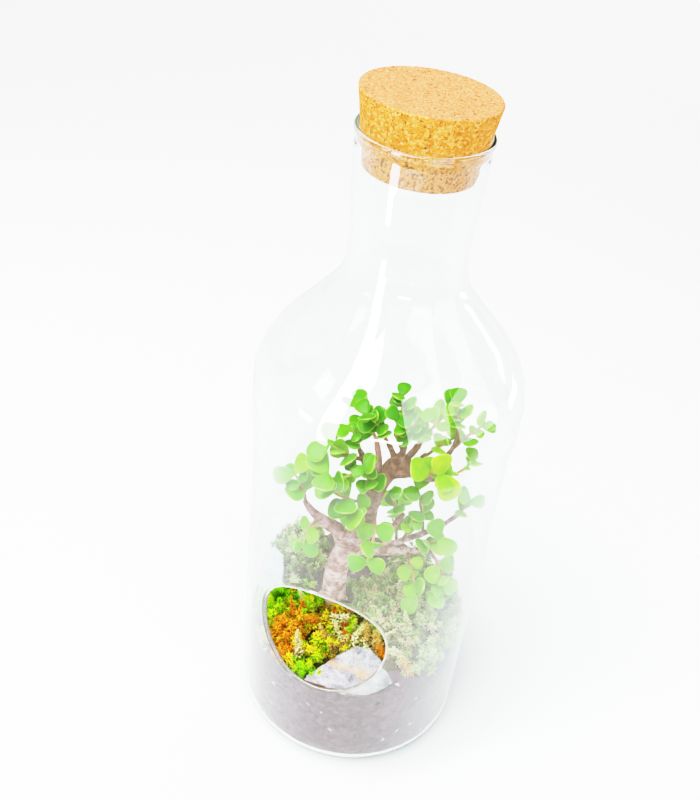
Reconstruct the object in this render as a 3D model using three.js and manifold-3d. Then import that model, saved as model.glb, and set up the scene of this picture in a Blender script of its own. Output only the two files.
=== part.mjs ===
// A bottle terrarium: a mouth-blown bottle with a round side window and a cork, planted with a
// small-leaved jade bonsai in dark soil, with moss cushions and two stones.
// Millimetres, +Z up. The origin is the centre of the base, and the side window faces -Y.

import * as THREE from 'three';
import { mergeVertices } from 'three/addons/utils/BufferGeometryUtils.js';
import { ConvexGeometry } from 'three/addons/geometries/ConvexGeometry.js';
import Module from 'manifold-3d';

const wasm = await Module();
wasm.setup();

// Bottle
const BODY_RADIUS = 60;
const GLASS_HEIGHT = 330;
const WALL = 2;
const NECK_WALL = 1.6;
const BASE_GLASS = 2.8;
const FLOOR_RISE = 2.2;
const FLAT_RADIUS = 41;
const HEEL_HEIGHT = 15;
const LIP_RADIUS = 1;
const LIP_RING_RADIUS = 25.5;
const WINDOW_RADIUS = 34.3;
const WINDOW_HEIGHT = 100.2;
const WINDOW_BEAD = 1.2;
const WINDOW_STEPS = 32;
const TURNS = 32;

// Cork
const CORK_TOP_RADIUS = 26.6;
const CORK_BOTTOM_RADIUS = 22;
const CORK_LENGTH = 28.5;
const CORK_ABOVE_LIP = 13.5;
const CORK_EDGE = 0.8;
const CORK_TILT = 2;
const CORK_TILT_TOWARDS = 50;

// Soil, moss and stones
const SOIL_LEVEL = 66;
const SOIL_RELIEF = 0.8;
const GAP = 0.3;
const SEAT_LEVEL = SOIL_LEVEL + 1.5 * SOIL_RELIEF + GAP;
const ROOT_RADIUS = 6;
const ROOT_DEPTH = 16;
const ROOT_PLACE = [-13, -4];
const MOSS_SECTORS = 24;
const MOSS_RINGS = 7;

// Plant
const BARK_SIDES = 7;
const TRUNK_GNARL = 0.06;
const LIMB_GNARL = 0.03;
const TWIG_SIDES = 4;
const TWIG_BASE_RADIUS = 0.95;
const TWIG_TIP_RADIUS = 0.6;
const LEAF_THICKNESS = 2;
const LEAF_CORNERS = 8;
const LEAF_ROOT_SINK = 0.8;
const LEAF_CLEARANCE = 3.1;
const LEAF_CLEARANCE_IN_SPRAY = 1.6;
const WALL_MARGIN = 1.8;
const SHOULDER_START = 215;
const SEED = 7;

const glass = material('#dfe9e4', 0.05);
glass.transparent = true;
glass.opacity = 0.3;
const corkwood = material('#d6a56b', 0.9);
const soilBrown = material('#4a3d3a', 0.95);
const mossGreen = material('#7f9a2c', 0.95);
const mossOlive = material('#93a060', 0.95);
const stoneGrey = material('#a3a1a8', 0.85);
const stonePale = material('#c9ced6', 0.7);
const bark = material('#7d5f56', 0.9);
const leafGreen = material('#6fbf2a', 0.4);

function material(color, roughness) {
  return new THREE.MeshStandardMaterial({ color, roughness, metalness: 0 });
}

function named(name, geometry, look) {
  const mesh = new THREE.Mesh(geometry, look);
  mesh.name = name;
  return mesh;
}

// A repeatable draw between 0 and 1 for the whole number k.
function draw(k) {
  const wave = Math.sin((k + SEED) * 12.9898) * 43758.5453;
  return wave - Math.floor(wave);
}

function solid(geometry) {
  const bare = geometry.clone();
  bare.deleteAttribute('normal');
  bare.deleteAttribute('uv');
  const joined = mergeVertices(bare, 1e-4);
  return new wasm.Manifold(new wasm.Mesh({
    numProp: 3,
    vertProperties: new Float32Array(joined.attributes.position.array),
    triVerts: new Uint32Array(joined.index.array),
  }));
}

function geometryOf(body) {
  const mesh = body.getMesh();
  const geometry = new THREE.BufferGeometry();
  geometry.setAttribute('position', new THREE.BufferAttribute(mesh.vertProperties, 3));
  geometry.setIndex(new THREE.BufferAttribute(mesh.triVerts, 1));
  geometry.computeVertexNormals();
  return geometry;
}

// The largest connected body of a cut solid: a loose scrap is dropped.
function largest(body) {
  const pieces = body.decompose();
  return pieces.reduce((best, piece) => (piece.volume() > best.volume() ? piece : best));
}

function turned(profile) {
  const points = profile.map(([r, z]) => new THREE.Vector2(r, z));
  return new THREE.LatheGeometry(points, TURNS).rotateX(Math.PI / 2);
}

// Glass bottle

function bodyProfile(inset, neckInset) {
  const heel = [];
  for (let step = 0; step <= 4; step += 1) {
    const angle = (step / 4) * (Math.PI / 2);
    const reach = BODY_RADIUS - FLAT_RADIUS;
    heel.push([
      FLAT_RADIUS + (reach - inset) * Math.sin(angle),
      HEEL_HEIGHT - (HEEL_HEIGHT - (inset > 0 ? BASE_GLASS : 0)) * Math.cos(angle),
    ]);
  }
  const body = [[60, 60], [60, 120], [59, 165], [59.2, 190], [60, 212]]
    .map(([r, z]) => [r - inset, z]);
  const shoulder = [[59, 224], [55.2, 233], [48.3, 242.5], [40.3, 251.5], [32.6, 260.5]]
    .map(([r, z]) => [r - inset, z - inset * 0.6]);
  const neck = [[27, 268.5], [24.7, 277], [24.1, 286], [25, 300], [25.6, 314], [25.9, 325]]
    .map(([r, z]) => [r - neckInset, z]);
  return [...heel, ...body, ...shoulder, ...neck];
}

function lipArc() {
  const arc = [];
  for (let step = 0; step <= 6; step += 1) {
    const angle = -Math.PI / 4 + (step / 6) * (Math.PI * 1.5);
    arc.push([
      LIP_RING_RADIUS + LIP_RADIUS * Math.cos(angle),
      GLASS_HEIGHT - LIP_RADIUS + LIP_RADIUS * Math.sin(angle),
    ]);
  }
  return arc;
}

// The window's edge: a circle drawn on the round wall with a string, so that it follows the wall.
function windowEdge() {
  const middle = BODY_RADIUS - WALL / 2;
  const points = [];
  for (let step = 0; step < WINDOW_STEPS; step += 1) {
    const angle = (step / WINDOW_STEPS) * Math.PI * 2;
    const turn = (WINDOW_RADIUS * Math.cos(angle)) / middle;
    points.push(new THREE.Vector3(
      middle * Math.sin(turn),
      -middle * Math.cos(turn),
      WINDOW_HEIGHT + WINDOW_RADIUS * Math.sin(angle),
    ));
  }
  return points;
}

function glassBottle() {
  const push = [[0, 2.4], [14, 2.1], [24, 0.9], [29, 0]];
  const inside = bodyProfile(WALL, NECK_WALL).reverse();
  const shell = turned([...push, ...bodyProfile(0, 0), ...lipArc(), ...inside, [0, BASE_GLASS + FLOOR_RISE]]);
  const edge = windowEdge();
  const opening = new THREE.Shape(edge.map(({ x, z }) => new THREE.Vector2(x, z)));
  const cutter = new THREE.ExtrudeGeometry(opening, { depth: BODY_RADIUS, bevelEnabled: false })
    .rotateX(Math.PI / 2)
    .translate(0, -BODY_RADIUS / 2, 0);
  const rim = new THREE.CatmullRomCurve3(edge, true);
  const bead = new THREE.TubeGeometry(rim, WINDOW_STEPS, WINDOW_BEAD, 6, true);
  return solid(shell).subtract(solid(cutter)).add(solid(bead));
}

// Cork stopper: a tapered plug that leans about the middle of the lip.

function corkStopper() {
  const top = CORK_ABOVE_LIP;
  const bottom = CORK_ABOVE_LIP - CORK_LENGTH;
  const geometry = turned([
    [0, bottom],
    [CORK_BOTTOM_RADIUS - CORK_EDGE, bottom],
    [CORK_BOTTOM_RADIUS, bottom + CORK_EDGE],
    [CORK_TOP_RADIUS, top - CORK_EDGE],
    [CORK_TOP_RADIUS - CORK_EDGE, top],
    [0, top],
  ]);
  const towards = THREE.MathUtils.degToRad(CORK_TILT_TOWARDS);
  const hinge = new THREE.Vector3(-Math.sin(towards), Math.cos(towards), 0);
  geometry.applyMatrix4(new THREE.Matrix4().makeRotationAxis(hinge, THREE.MathUtils.degToRad(CORK_TILT)));
  geometry.translate(0, 0, GLASS_HEIGHT);
  return geometry;
}

// Soil

function soilRelief(x, y) {
  return SOIL_RELIEF * (Math.sin(x * 0.13 + 0.6) * Math.cos(y * 0.11) + 0.5 * Math.sin((x - y) * 0.21));
}

function soilBody() {
  const side = bodyProfile(WALL + GAP, NECK_WALL)
    .filter(([, z]) => z < SOIL_LEVEL - 4)
    .map(([r, z]) => [r, z + GAP]);
  const wallRadius = BODY_RADIUS - WALL - GAP;
  const top = [[wallRadius, SOIL_LEVEL]];
  for (const radius of [50, 40, 30, 20, 10, 0]) {
    top.push([radius, SOIL_LEVEL]);
  }
  const geometry = turned([[0, BASE_GLASS + FLOOR_RISE + GAP], ...side, ...top]);
  const place = geometry.attributes.position;
  for (let i = 0; i < place.count; i += 1) {
    if (place.getZ(i) > SOIL_LEVEL - 0.5) {
      place.setZ(i, SOIL_LEVEL + soilRelief(place.getX(i), place.getY(i)));
    }
  }
  return solid(geometry);
}

// Moss cushion: a low mound whose outline and top are raised by a formula of tufts.

function tufts(x, y) {
  const coarse = Math.abs(Math.sin(x * 0.55 + 1.3 * Math.sin(y * 0.31)) * Math.cos(y * 0.49 + x * 0.12));
  const fine = Math.abs(Math.sin(x * 0.97 - y * 0.83));
  return 2.6 * coarse + 1.1 * fine;
}

function mossCushion({ centre, across, along, turn, height }, grow = 0) {
  const points = [[0, 0]];
  for (let ring = 1; ring <= MOSS_RINGS; ring += 1) {
    points.push([ring / MOSS_RINGS, 0]);
  }
  for (let ring = MOSS_RINGS; ring >= 0; ring -= 1) {
    points.push([ring / MOSS_RINGS, 1]);
  }
  const mound = new THREE.LatheGeometry(
    points.map(([r, z]) => new THREE.Vector2(r, z)),
    MOSS_SECTORS,
  ).rotateX(Math.PI / 2);
  const place = mound.attributes.position;
  const angle = THREE.MathUtils.degToRad(turn);
  for (let i = 0; i < place.count; i += 1) {
    const u = place.getX(i);
    const v = place.getY(i);
    const rho = Math.hypot(u, v);
    const bearing = Math.atan2(v, u);
    const lobes = 1 + 0.07 * Math.sin(3 * bearing + centre[0]) + 0.05 * Math.sin(7 * bearing + centre[1]);
    const a = u * (across * lobes + grow);
    const b = v * (along * lobes + grow);
    const spread = new THREE.Vector2(
      centre[0] + a * Math.cos(angle) - b * Math.sin(angle),
      centre[1] + a * Math.sin(angle) + b * Math.cos(angle),
    ).clampLength(0, BODY_RADIUS - WALL - 2 * GAP);
    const { x, y } = spread;
    const dome = Math.sqrt(Math.max(0, 1 - rho ** 2.6));
    const top = SEAT_LEVEL + height * (0.2 + 0.8 * dome) + tufts(x, y) * Math.min(1, 3 * (1.1 - rho));
    place.setXYZ(i, x, y, place.getZ(i) > 0.5 ? top + grow : SEAT_LEVEL - grow);
  }
  return solid(mound);
}

// Stone: the hull of its corners, pushed out from its middle by grow.
function stone(corners, grow = 0) {
  const points = corners.map((corner) => new THREE.Vector3(...corner));
  const middle = new THREE.Vector3();
  points.forEach((point) => middle.addScaledVector(point, 1 / points.length));
  const pushed = points.map((point) => {
    const out = point.clone().sub(middle);
    return middle.clone().add(out.setLength(out.length() + grow));
  });
  return solid(new ConvexGeometry(pushed));
}

const FRONT_STONE = [
  [-5, -56, 69], [-4, -55.5, 71.5], [5, -47, 74.5], [13, -35, 79], [20, -33, 77.5], [27, -36, 75], [32, -38, 72],
  [36, -41, 69.5], [31, -47.2, 68.5], [21, -52.4, 68.5], [17, -53, 73.5], [7, -56, 71.8], [12, -31, SEAT_LEVEL],
  [26, -32, SEAT_LEVEL], [35, -41, SEAT_LEVEL], [30, -47.4, SEAT_LEVEL], [8, -55.8, SEAT_LEVEL],
  [-3, -56, SEAT_LEVEL],
];
const PALE_STONE = [
  [-54, -9, 92], [-50, -4, 95], [-43, -7, 93], [-40, -13, 86], [-40, -20, 79], [-45, -26, 75],
  [-51, -19, 84], [-53, -10, SEAT_LEVEL], [-44, -4, SEAT_LEVEL], [-38, -16, SEAT_LEVEL],
  [-44, -27, SEAT_LEVEL], [-51, -20, SEAT_LEVEL],
];

// Wood: round lengths that follow a curve and taper, with a gnarled outline.

function through(points) {
  return new THREE.CatmullRomCurve3(points.map((point) => new THREE.Vector3(...point)), false, 'centripetal');
}

function bent(points, radii, sides, stepsPerSpan, grow = 0, gnarl = 0) {
  const curve = through(points);
  const steps = (points.length - 1) * stepsPerSpan;
  const frames = curve.computeFrenetFrames(steps, false);
  const geometry = new THREE.CylinderGeometry(1, 1, 1, sides, steps);
  const place = geometry.attributes.position;
  for (let i = 0; i < place.count; i += 1) {
    const k = Math.round((place.getY(i) + 0.5) * steps);
    const u = k / steps;
    const span = u * (radii.length - 1);
    const from = Math.min(Math.floor(span), radii.length - 2);
    const plain = THREE.MathUtils.lerp(radii[from], radii[from + 1], span - from);
    const x = place.getX(i);
    const z = place.getZ(i);
    const swell = 1 + gnarl * Math.sin(3 * Math.atan2(z, x) + 2.1 * k);
    const radius = plain * swell + grow;
    const middle = curve.getPoint(u);
    middle.addScaledVector(frames.normals[k], x * radius);
    middle.addScaledVector(frames.binormals[k], -z * radius);
    place.setXYZ(i, middle.x, middle.y, middle.z);
  }
  return solid(geometry);
}

const WOOD = [
  {
    points: [[-13, -4, 66], [-13, -6, 77], [-13, -7, 92], [-11, -6, 106], [-7, -4, 118], [-2, -2, 127],
      [-1, 0, 142], [2, 2, 157], [8, 5, 168]],
    radii: [7.4, 6.3, 5.9, 5.7, 6.3, 5.2, 4.4, 4.6, 4.2],
  },
  {
    points: [[-9, -5, 114], [-14, -7, 125], [-20, -10, 131], [-25, -13, 137], [-30, -15, 145]],
    radii: [4.4, 3.8, 3, 2.3, 1.4],
  },
  { points: [[6, 4, 165], [17, 7, 167], [23, 9, 163], [30, 10, 165]], radii: [4, 3.2, 2.2, 1.5] },
  { points: [[-7, -3, 112], [5, 8, 106], [17, 14, 106], [29, 17, 110]], radii: [3.2, 2.3, 1.9, 1.5] },
  {
    points: [[5, 8, 107], [15, 14, 113], [25, 18, 120], [33, 19, 128], [41, 20, 140]],
    radii: [1.9, 1.7, 1.5, 1.3, 1],
  },
  { points: [[7, 7, 107], [10, 8, 123], [14, 8, 137]], radii: [1.8, 1.8, 1.6] },
  { points: [[1, 0, 152], [-4, -3, 166], [-8, -6, 178]], radii: [2.4, 1.7, 1.3] },
  { points: [[8, 5, 167], [10, 6, 180], [9, 6, 188]], radii: [2.2, 1.5, 1.2] },
  { points: [[8, 5, 168], [4, 1, 181]], radii: [1.9, 1.2] },
  { points: [[16, 7, 167], [20, 12, 174]], radii: [1.9, 1.2] },
  { points: [[23, 9, 163], [29, 14, 172], [32, 16, 185]], radii: [1.8, 1.3, 1] },
  { points: [[1, 1, 150], [-4, 14, 158], [-10, 24, 164]], radii: [2.4, 1.8, 1.2] },
  { points: [[6, 4, 163], [11, 18, 166], [13, 29, 171]], radii: [2.4, 1.8, 1.2] },
];

function wood(grow) {
  const limbs = WOOD.map(({ points, radii }, index) => {
    const isTrunk = index === 0;
    return bent(points, radii, BARK_SIDES, isTrunk ? 2 : 1, grow, isTrunk ? TRUNK_GNARL : LIMB_GNARL);
  });
  return limbs.reduce((whole, limb) => whole.add(limb));
}

function rootStub(grow) {
  const [x, y] = ROOT_PLACE;
  return solid(new THREE.CylinderGeometry(ROOT_RADIUS + grow, ROOT_RADIUS + grow, ROOT_DEPTH + 4 + grow, 12)
    .rotateX(Math.PI / 2)
    .translate(x, y, SOIL_LEVEL - (ROOT_DEPTH + grow) / 2 + 2));
}

// Leafy sprays: each is a green twig, with leaves in crossed pairs up it and one pair at its tip.

const SPRAYS = [
  { name: 'crown_top', path: [[9, 6, 187], [7, 5, 199], [5, 5, 208]], pairs: 3, leaf: 8 },
  { name: 'crown_left', path: [[4, 1, 180], [0, -4, 193], [-6, -8, 202]], pairs: 3, leaf: 9.5 },
  { name: 'crown_front', path: [[9, 5, 178], [8, -4, 193], [8, -6, 203]], pairs: 2, leaf: 8.5 },
  { name: 'stem_top', path: [[-8, -6, 177], [-9, -9, 187], [-12, -12, 195]], pairs: 2, leaf: 9 },
  { name: 'stem_side', path: [[-6, -5, 172], [-13, -12, 178], [-20, -16, 184]], pairs: 2, leaf: 11 },
  {
    name: 'front_left',
    path: [[-1, 0, 146], [-6, -15, 156], [-12, -20, 163], [-17, -22, 173]],
    pairs: 3, leaf: 12,
  },
  { name: 'left_end', path: [[-29, -15, 144], [-31, -16, 154], [-35, -18, 163]], pairs: 2, leaf: 11.5 },
  { name: 'left_low', path: [[-23, -12, 134], [-26, -17, 129], [-27, -20, 120]], pairs: 2, leaf: 9 },
  {
    name: 'front_drop',
    path: [[0, 0, 140], [6, -11, 143], [8, -17, 137], [8, -22, 127]],
    pairs: 3, leaf: 10,
  },
  { name: 'front_middle', path: [[2, 1, 155], [0, -11, 167], [-2, -14, 177]], pairs: 2, leaf: 10 },
  { name: 'centre', path: [[14, 8, 136], [11, 2, 147], [8, -1, 156]], pairs: 2, leaf: 8.5 },
  { name: 'front_right', path: [[21, 8, 165], [27, -3, 178], [32, -6, 181]], pairs: 2, leaf: 12.5 },
  { name: 'right_up', path: [[20, 12, 173], [25, 15, 179], [30, 18, 184]], pairs: 2, leaf: 9.5 },
  { name: 'pale', path: [[12, 6, 168], [17, 11, 184], [15, 11, 196]], pairs: 2, leaf: 9.5 },
  { name: 'tall_right', path: [[32, 16, 184], [31, 15, 197], [29, 15, 206]], pairs: 3, leaf: 9 },
  { name: 'tall_side', path: [[31, 15, 179], [36, 18, 187], [42, 21, 194]], pairs: 2, leaf: 9.5 },
  {
    name: 'middle_right',
    path: [[24, 18, 120], [23, 14, 134], [21, 12, 146], [19, 10, 153]],
    pairs: 3, leaf: 10.5,
  },
  { name: 'far_right', path: [[39, 20, 137], [41, 19, 143], [44, 19, 149]], pairs: 2, leaf: 9 },
  { name: 'low_twig', path: [[30, 10, 164], [37, 15, 169], [41, 18, 174]], pairs: 1, leaf: 8 },
  {
    name: 'low_right',
    path: [[29, 17, 110], [35, 14, 107], [39, 13, 98], [40, 12, 89]],
    pairs: 3, leaf: 11.5,
  },
  {
    name: 'low_middle',
    path: [[19, 14, 106], [22, 9, 105], [27, 5, 97], [31, 3, 89]],
    pairs: 3, leaf: 11.5,
  },
  { name: 'front_low', path: [[0, 0, 141], [-2, -12, 150], [-5, -18, 151]], pairs: 1, leaf: 13 },
  { name: 'low_top', path: [[22, 16, 107], [29, 13, 119], [34, 11, 126]], pairs: 2, leaf: 12 },
  { name: 'crown_right', path: [[10, 6, 181], [13, 4, 193], [15, 2, 203]], pairs: 2, leaf: 9 },
  { name: 'stem_low', path: [[-2, -2, 162], [-7, -15, 171], [-10, -19, 171]], pairs: 1, leaf: 10 },
  { name: 'middle_low', path: [[15, 14, 113], [18, 9, 126], [20, 6, 137]], pairs: 2, leaf: 9.5 },
  { name: 'back_left', path: [[-10, 24, 163], [-18, 31, 167], [-25, 34, 173]], pairs: 3, leaf: 11 },
  { name: 'back_right', path: [[13, 29, 170], [17, 36, 176], [22, 39, 184]], pairs: 3, leaf: 11 },
  { name: 'back_low', path: [[12, 14, 108], [8, 24, 112], [3, 33, 118]], pairs: 3, leaf: 11 },
];

const up = new THREE.Vector3(0, 0, 1);
const light = new THREE.Vector3(0.15, -0.55, 0.8);

// Inside radius of the glass, less a leaf's margin, at height z: it narrows above the shoulder's start.
function roomAt(z) {
  return BODY_RADIUS - WALL - WALL_MARGIN - Math.max(0, z - SHOULDER_START) * 0.8;
}

// A leaf's own frame: root, length direction, across and face directions.
function leafFrame(root, along, face, length) {
  const across = new THREE.Vector3().crossVectors(face, along).normalize();
  const out = new THREE.Vector3().crossVectors(along, across).normalize();
  return { root, along, across, out, length };
}

// A point of the leaf: t from root to tip, s from -1 to 1 across, h times half the thickness.
function leafPoint({ root, along, across, out, length }, t, s, h) {
  const width = 0.48 * length * (0.62 + 0.5 * t);
  const round = Math.sqrt(Math.max(0, 1 - (2 * t - 1) ** 2));
  const dish = -0.1 * length * (t - 0.5) ** 2 + 0.03 * length * s * s * round * round;
  return root.clone()
    .addScaledVector(along, t * length)
    .addScaledVector(across, s * width * round)
    .addScaledVector(out, dish + h * LEAF_THICKNESS / 2);
}

function leafSamples(frame) {
  const samples = [];
  for (const t of [0.3, 0.5, 0.7, 0.9, 1]) {
    for (const s of t > 0.95 ? [0] : [-1, -0.35, 0.35, 1]) {
      samples.push(leafPoint(frame, t, s, 0));
    }
  }
  return samples;
}

// Everything that a new leaf has to stay clear of: points with a radius and the name of their spray.
const taken = [];

function take(point, radius, owner) {
  taken.push({ point, radius, owner });
}

function isClear(frame, owner) {
  return leafSamples(frame).every((sample) => {
    if (Math.hypot(sample.x, sample.y) > roomAt(sample.z)) {
      return false;
    }
    return taken.every(({ point, radius, owner: other }) => {
      const room = other === owner ? LEAF_CLEARANCE_IN_SPRAY : LEAF_CLEARANCE;
      return sample.distanceTo(point) > room + radius;
    });
  });
}

// The leaf turns about its twig, and then shortens, until it is clear of what is there already.
function placeLeaf(root, tangent, bearing, length, owner) {
  const level = Math.abs(tangent.z) < 0.9 ? up : new THREE.Vector3(1, 0, 0);
  const side = new THREE.Vector3().crossVectors(tangent, level).normalize();
  for (const shrink of [1, 0.82]) {
    for (const swing of [0, 0.35, -0.35, 0.7, -0.7, 1.05, -1.05]) {
      for (const lift of [0.45, 0.9, 0.05]) {
        const outward = side.clone().applyAxisAngle(tangent, bearing + swing);
        const along = outward.clone().addScaledVector(tangent, lift).normalize();
        const face = light.clone().addScaledVector(tangent, 0.45);
        face.addScaledVector(along, -face.dot(along)).normalize();
        const start = root.clone().addScaledVector(along, -LEAF_ROOT_SINK);
        const frame = leafFrame(start, along, face, length * shrink);
        if (isClear(frame, owner)) {
          return frame;
        }
      }
    }
  }
  return null;
}

function leafBody(frame) {
  const geometry = new THREE.SphereGeometry(1, LEAF_CORNERS, 2);
  const place = geometry.attributes.position;
  for (let i = 0; i < place.count; i += 1) {
    const h = place.getY(i);
    const t = 0.5 + 0.5 * place.getX(i);
    const round = Math.sqrt(Math.max(1e-9, 1 - (2 * t - 1) ** 2));
    const s = -place.getZ(i) / round;
    const point = Math.abs(h) > 0.5
      ? leafPoint(frame, 0.55, 0, h)
      : leafPoint(frame, t, THREE.MathUtils.clamp(s, -1, 1), 0);
    place.setXYZ(i, point.x, point.y, point.z);
  }
  return solid(geometry);
}

function sprayLeaves({ name, path, pairs, leaf }, index) {
  const curve = through(path);
  const leaves = [];
  for (let pair = 0; pair < pairs; pair += 1) {
    const u = pairs === 1 ? 1 : 0.42 + 0.58 * (pair / (pairs - 1));
    const root = curve.getPoint(u);
    const tangent = curve.getTangent(u);
    const quarter = (pair % 2) * (Math.PI / 2) + 0.6 * (draw(index * 31 + pair) - 0.5);
    for (const half of [0, 1]) {
      const size = leaf * (0.88 + 0.24 * draw(index * 57 + pair * 5 + half));
      const frame = placeLeaf(root, tangent, quarter + half * Math.PI, size, name);
      if (frame) {
        leaves.push(frame);
        leafSamples(frame).forEach((sample) => take(sample, 0, name));
      }
    }
  }
  const crown = placeLeaf(curve.getPoint(1), curve.getTangent(1), 0.8, leaf * 0.8, name);
  if (crown) {
    leaves.push(crown);
    leafSamples(crown).forEach((sample) => take(sample, 0, name));
  }
  return leaves;
}

// Assembly

const bottle = glassBottle();
const soil = soilBody();
const plantWood = wood(0).add(rootStub(0));
const woodRoom = wood(GAP).add(rootStub(GAP));
const frontStoneRoom = stone(FRONT_STONE, 1.5 * GAP);
const paleStoneRoom = stone(PALE_STONE, 1.5 * GAP);

const FRONT_MOSS = { centre: [-17, -32], across: 31, along: 24, turn: -14, height: 8 };
const mossFront = largest(mossCushion(FRONT_MOSS)
  .subtract(frontStoneRoom).subtract(paleStoneRoom).subtract(woodRoom));
const mossRight = largest(mossCushion({ centre: [27, 8], across: 26, along: 44, turn: 6, height: 8 })
  .subtract(woodRoom).subtract(frontStoneRoom).subtract(mossCushion(FRONT_MOSS, 2 * GAP)));
const mossLeft = largest(mossCushion({ centre: [-45, 15], across: 14, along: 25, turn: 18, height: 18 })
  .subtract(paleStoneRoom));

for (const { points, radii } of WOOD) {
  const curve = through(points);
  const steps = Math.ceil(curve.getLength() / 2.5);
  for (let step = 0; step <= steps; step += 1) {
    const span = (step / steps) * (radii.length - 1);
    const from = Math.min(Math.floor(span), radii.length - 2);
    const radius = THREE.MathUtils.lerp(radii[from], radii[from + 1], span - from);
    take(curve.getPoint(step / steps), radius - 1.2, 'wood');
  }
}
for (const { name, path } of SPRAYS) {
  const curve = through(path);
  for (let step = 0; step <= 10; step += 1) {
    take(curve.getPoint(step / 10), -1, name);
  }
}

const group = new THREE.Group();
group.add(named('glass_bottle', geometryOf(bottle), glass));
group.add(named('cork_stopper', corkStopper(), corkwood));
group.add(named('soil', geometryOf(largest(soil.subtract(rootStub(GAP)).subtract(wood(GAP)))), soilBrown));
group.add(named('moss_front', geometryOf(mossFront), mossGreen));
group.add(named('moss_right', geometryOf(mossRight), mossOlive));
group.add(named('moss_left', geometryOf(mossLeft), mossOlive));
group.add(named('stone_front', geometryOf(stone(FRONT_STONE)), stoneGrey));
group.add(named('stone_pale', geometryOf(stone(PALE_STONE)), stonePale));
group.add(named('plant_wood', geometryOf(plantWood), bark));

SPRAYS.forEach((spray, index) => {
  const leaves = sprayLeaves(spray, index);
  const twig = bent(spray.path, [TWIG_BASE_RADIUS, TWIG_TIP_RADIUS], TWIG_SIDES, 2);
  const body = leaves.map(leafBody).reduce((whole, leaf) => whole.add(leaf), twig);
  group.add(named(`spray_${spray.name}`, geometryOf(largest(body.subtract(woodRoom))), leafGreen));
});

export default group;
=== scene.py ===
import math

import bpy
import numpy as np
from mathutils import Matrix


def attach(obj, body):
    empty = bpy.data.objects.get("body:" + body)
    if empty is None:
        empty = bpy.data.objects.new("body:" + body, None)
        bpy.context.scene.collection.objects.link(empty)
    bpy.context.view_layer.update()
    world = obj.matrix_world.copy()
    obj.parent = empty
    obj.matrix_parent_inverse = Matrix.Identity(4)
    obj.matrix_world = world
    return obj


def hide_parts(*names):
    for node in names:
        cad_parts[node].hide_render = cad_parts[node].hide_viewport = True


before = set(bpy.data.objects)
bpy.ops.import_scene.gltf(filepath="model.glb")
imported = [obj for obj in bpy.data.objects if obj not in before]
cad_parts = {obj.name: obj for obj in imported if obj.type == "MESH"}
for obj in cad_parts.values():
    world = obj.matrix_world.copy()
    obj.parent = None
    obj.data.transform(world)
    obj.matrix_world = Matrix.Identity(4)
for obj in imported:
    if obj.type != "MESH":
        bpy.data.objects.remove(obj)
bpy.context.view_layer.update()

MM = 0.001

# Camera: it looks down over the cork from the window's right, and is held a little askew, as the
# photograph was. It stands 470 mm from a point 150 mm up the bottle.
AIM = np.array([0.0, 0.0, 150.0])
CAMERA_AZIMUTH = math.radians(16.5)
CAMERA_ELEVATION = math.radians(41.74)
CAMERA_ROLL = math.radians(8.158)
CAMERA_DISTANCE = 470.22
FRAME_HEIGHT = 800
FOCAL_PIXELS = 961.246
CENTRE_RIGHT = 23.81
CENTRE_DOWN = 93.44

camera_back = np.array([
    math.sin(CAMERA_AZIMUTH) * math.cos(CAMERA_ELEVATION),
    -math.cos(CAMERA_AZIMUTH) * math.cos(CAMERA_ELEVATION),
    math.sin(CAMERA_ELEVATION),
])
level_right = np.array([math.cos(CAMERA_AZIMUTH), math.sin(CAMERA_AZIMUTH), 0.0])
level_up = np.cross(camera_back, level_right)
camera_right = math.cos(CAMERA_ROLL) * level_right + math.sin(CAMERA_ROLL) * level_up
camera_up = -math.sin(CAMERA_ROLL) * level_right + math.cos(CAMERA_ROLL) * level_up
camera_place = np.eye(4)
camera_place[:3, :3] = np.stack([camera_right, camera_up, camera_back], axis=1)
camera_place[:3, 3] = (AIM + camera_back * CAMERA_DISTANCE) * MM

lens = bpy.data.cameras.new("lens")
lens.sensor_width = 36
lens.lens = FOCAL_PIXELS * lens.sensor_width / FRAME_HEIGHT
lens.shift_x = -CENTRE_RIGHT / FRAME_HEIGHT
lens.shift_y = CENTRE_DOWN / FRAME_HEIGHT
lens.clip_start = 0.01
camera = bpy.data.objects.new("camera", lens)
bpy.context.scene.collection.objects.link(camera)
camera.matrix_world = Matrix(camera_place.tolist())
bpy.context.scene.camera = camera


# Studio: a white table that is lit past white, as in the photograph, under a dim ceiling, so that the
# upright glass mirrors the bright table over what is behind it and the shoulder mirrors little.
def linear(code):
    """Linear colour of an sRGB hex code: ((c + 0.055) / 1.055) ** 2.4, or c / 12.92 for a dark c."""
    c = np.array([int(code[i:i + 2], 16) / 255 for i in (1, 3, 5)])
    light = np.where(c <= 0.04045, c / 12.92, ((c + 0.055) / 1.055) ** 2.4)
    return (*light.tolist(), 1.0)


def add(tree, kind, sockets=(), stops=(), **properties):
    """Adds a node. A socket gets a value, or a link if it is given another node's output, and a colour
    ramp gets its stops as pairs of a place and a colour."""
    made = tree.nodes.new("ShaderNode" + kind)
    for name, value in properties.items():
        setattr(made, name, value)
    for name, value in dict(sockets).items():
        if isinstance(value, bpy.types.NodeSocket):
            tree.links.new(value, made.inputs[name])
        else:
            made.inputs[name].default_value = value
    if stops:
        elements = made.color_ramp.elements
        while len(elements) < len(stops):
            elements.new(0.5)
        for element, (place, colour) in zip(elements, stops):
            element.position = place
            element.color = colour
    return made


def material(name):
    """A new empty node material and its output node."""
    made = bpy.data.materials.new(name)
    made.use_nodes = True
    made.node_tree.nodes.clear()
    return made, made.node_tree, add(made.node_tree, "OutputMaterial")


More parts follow.
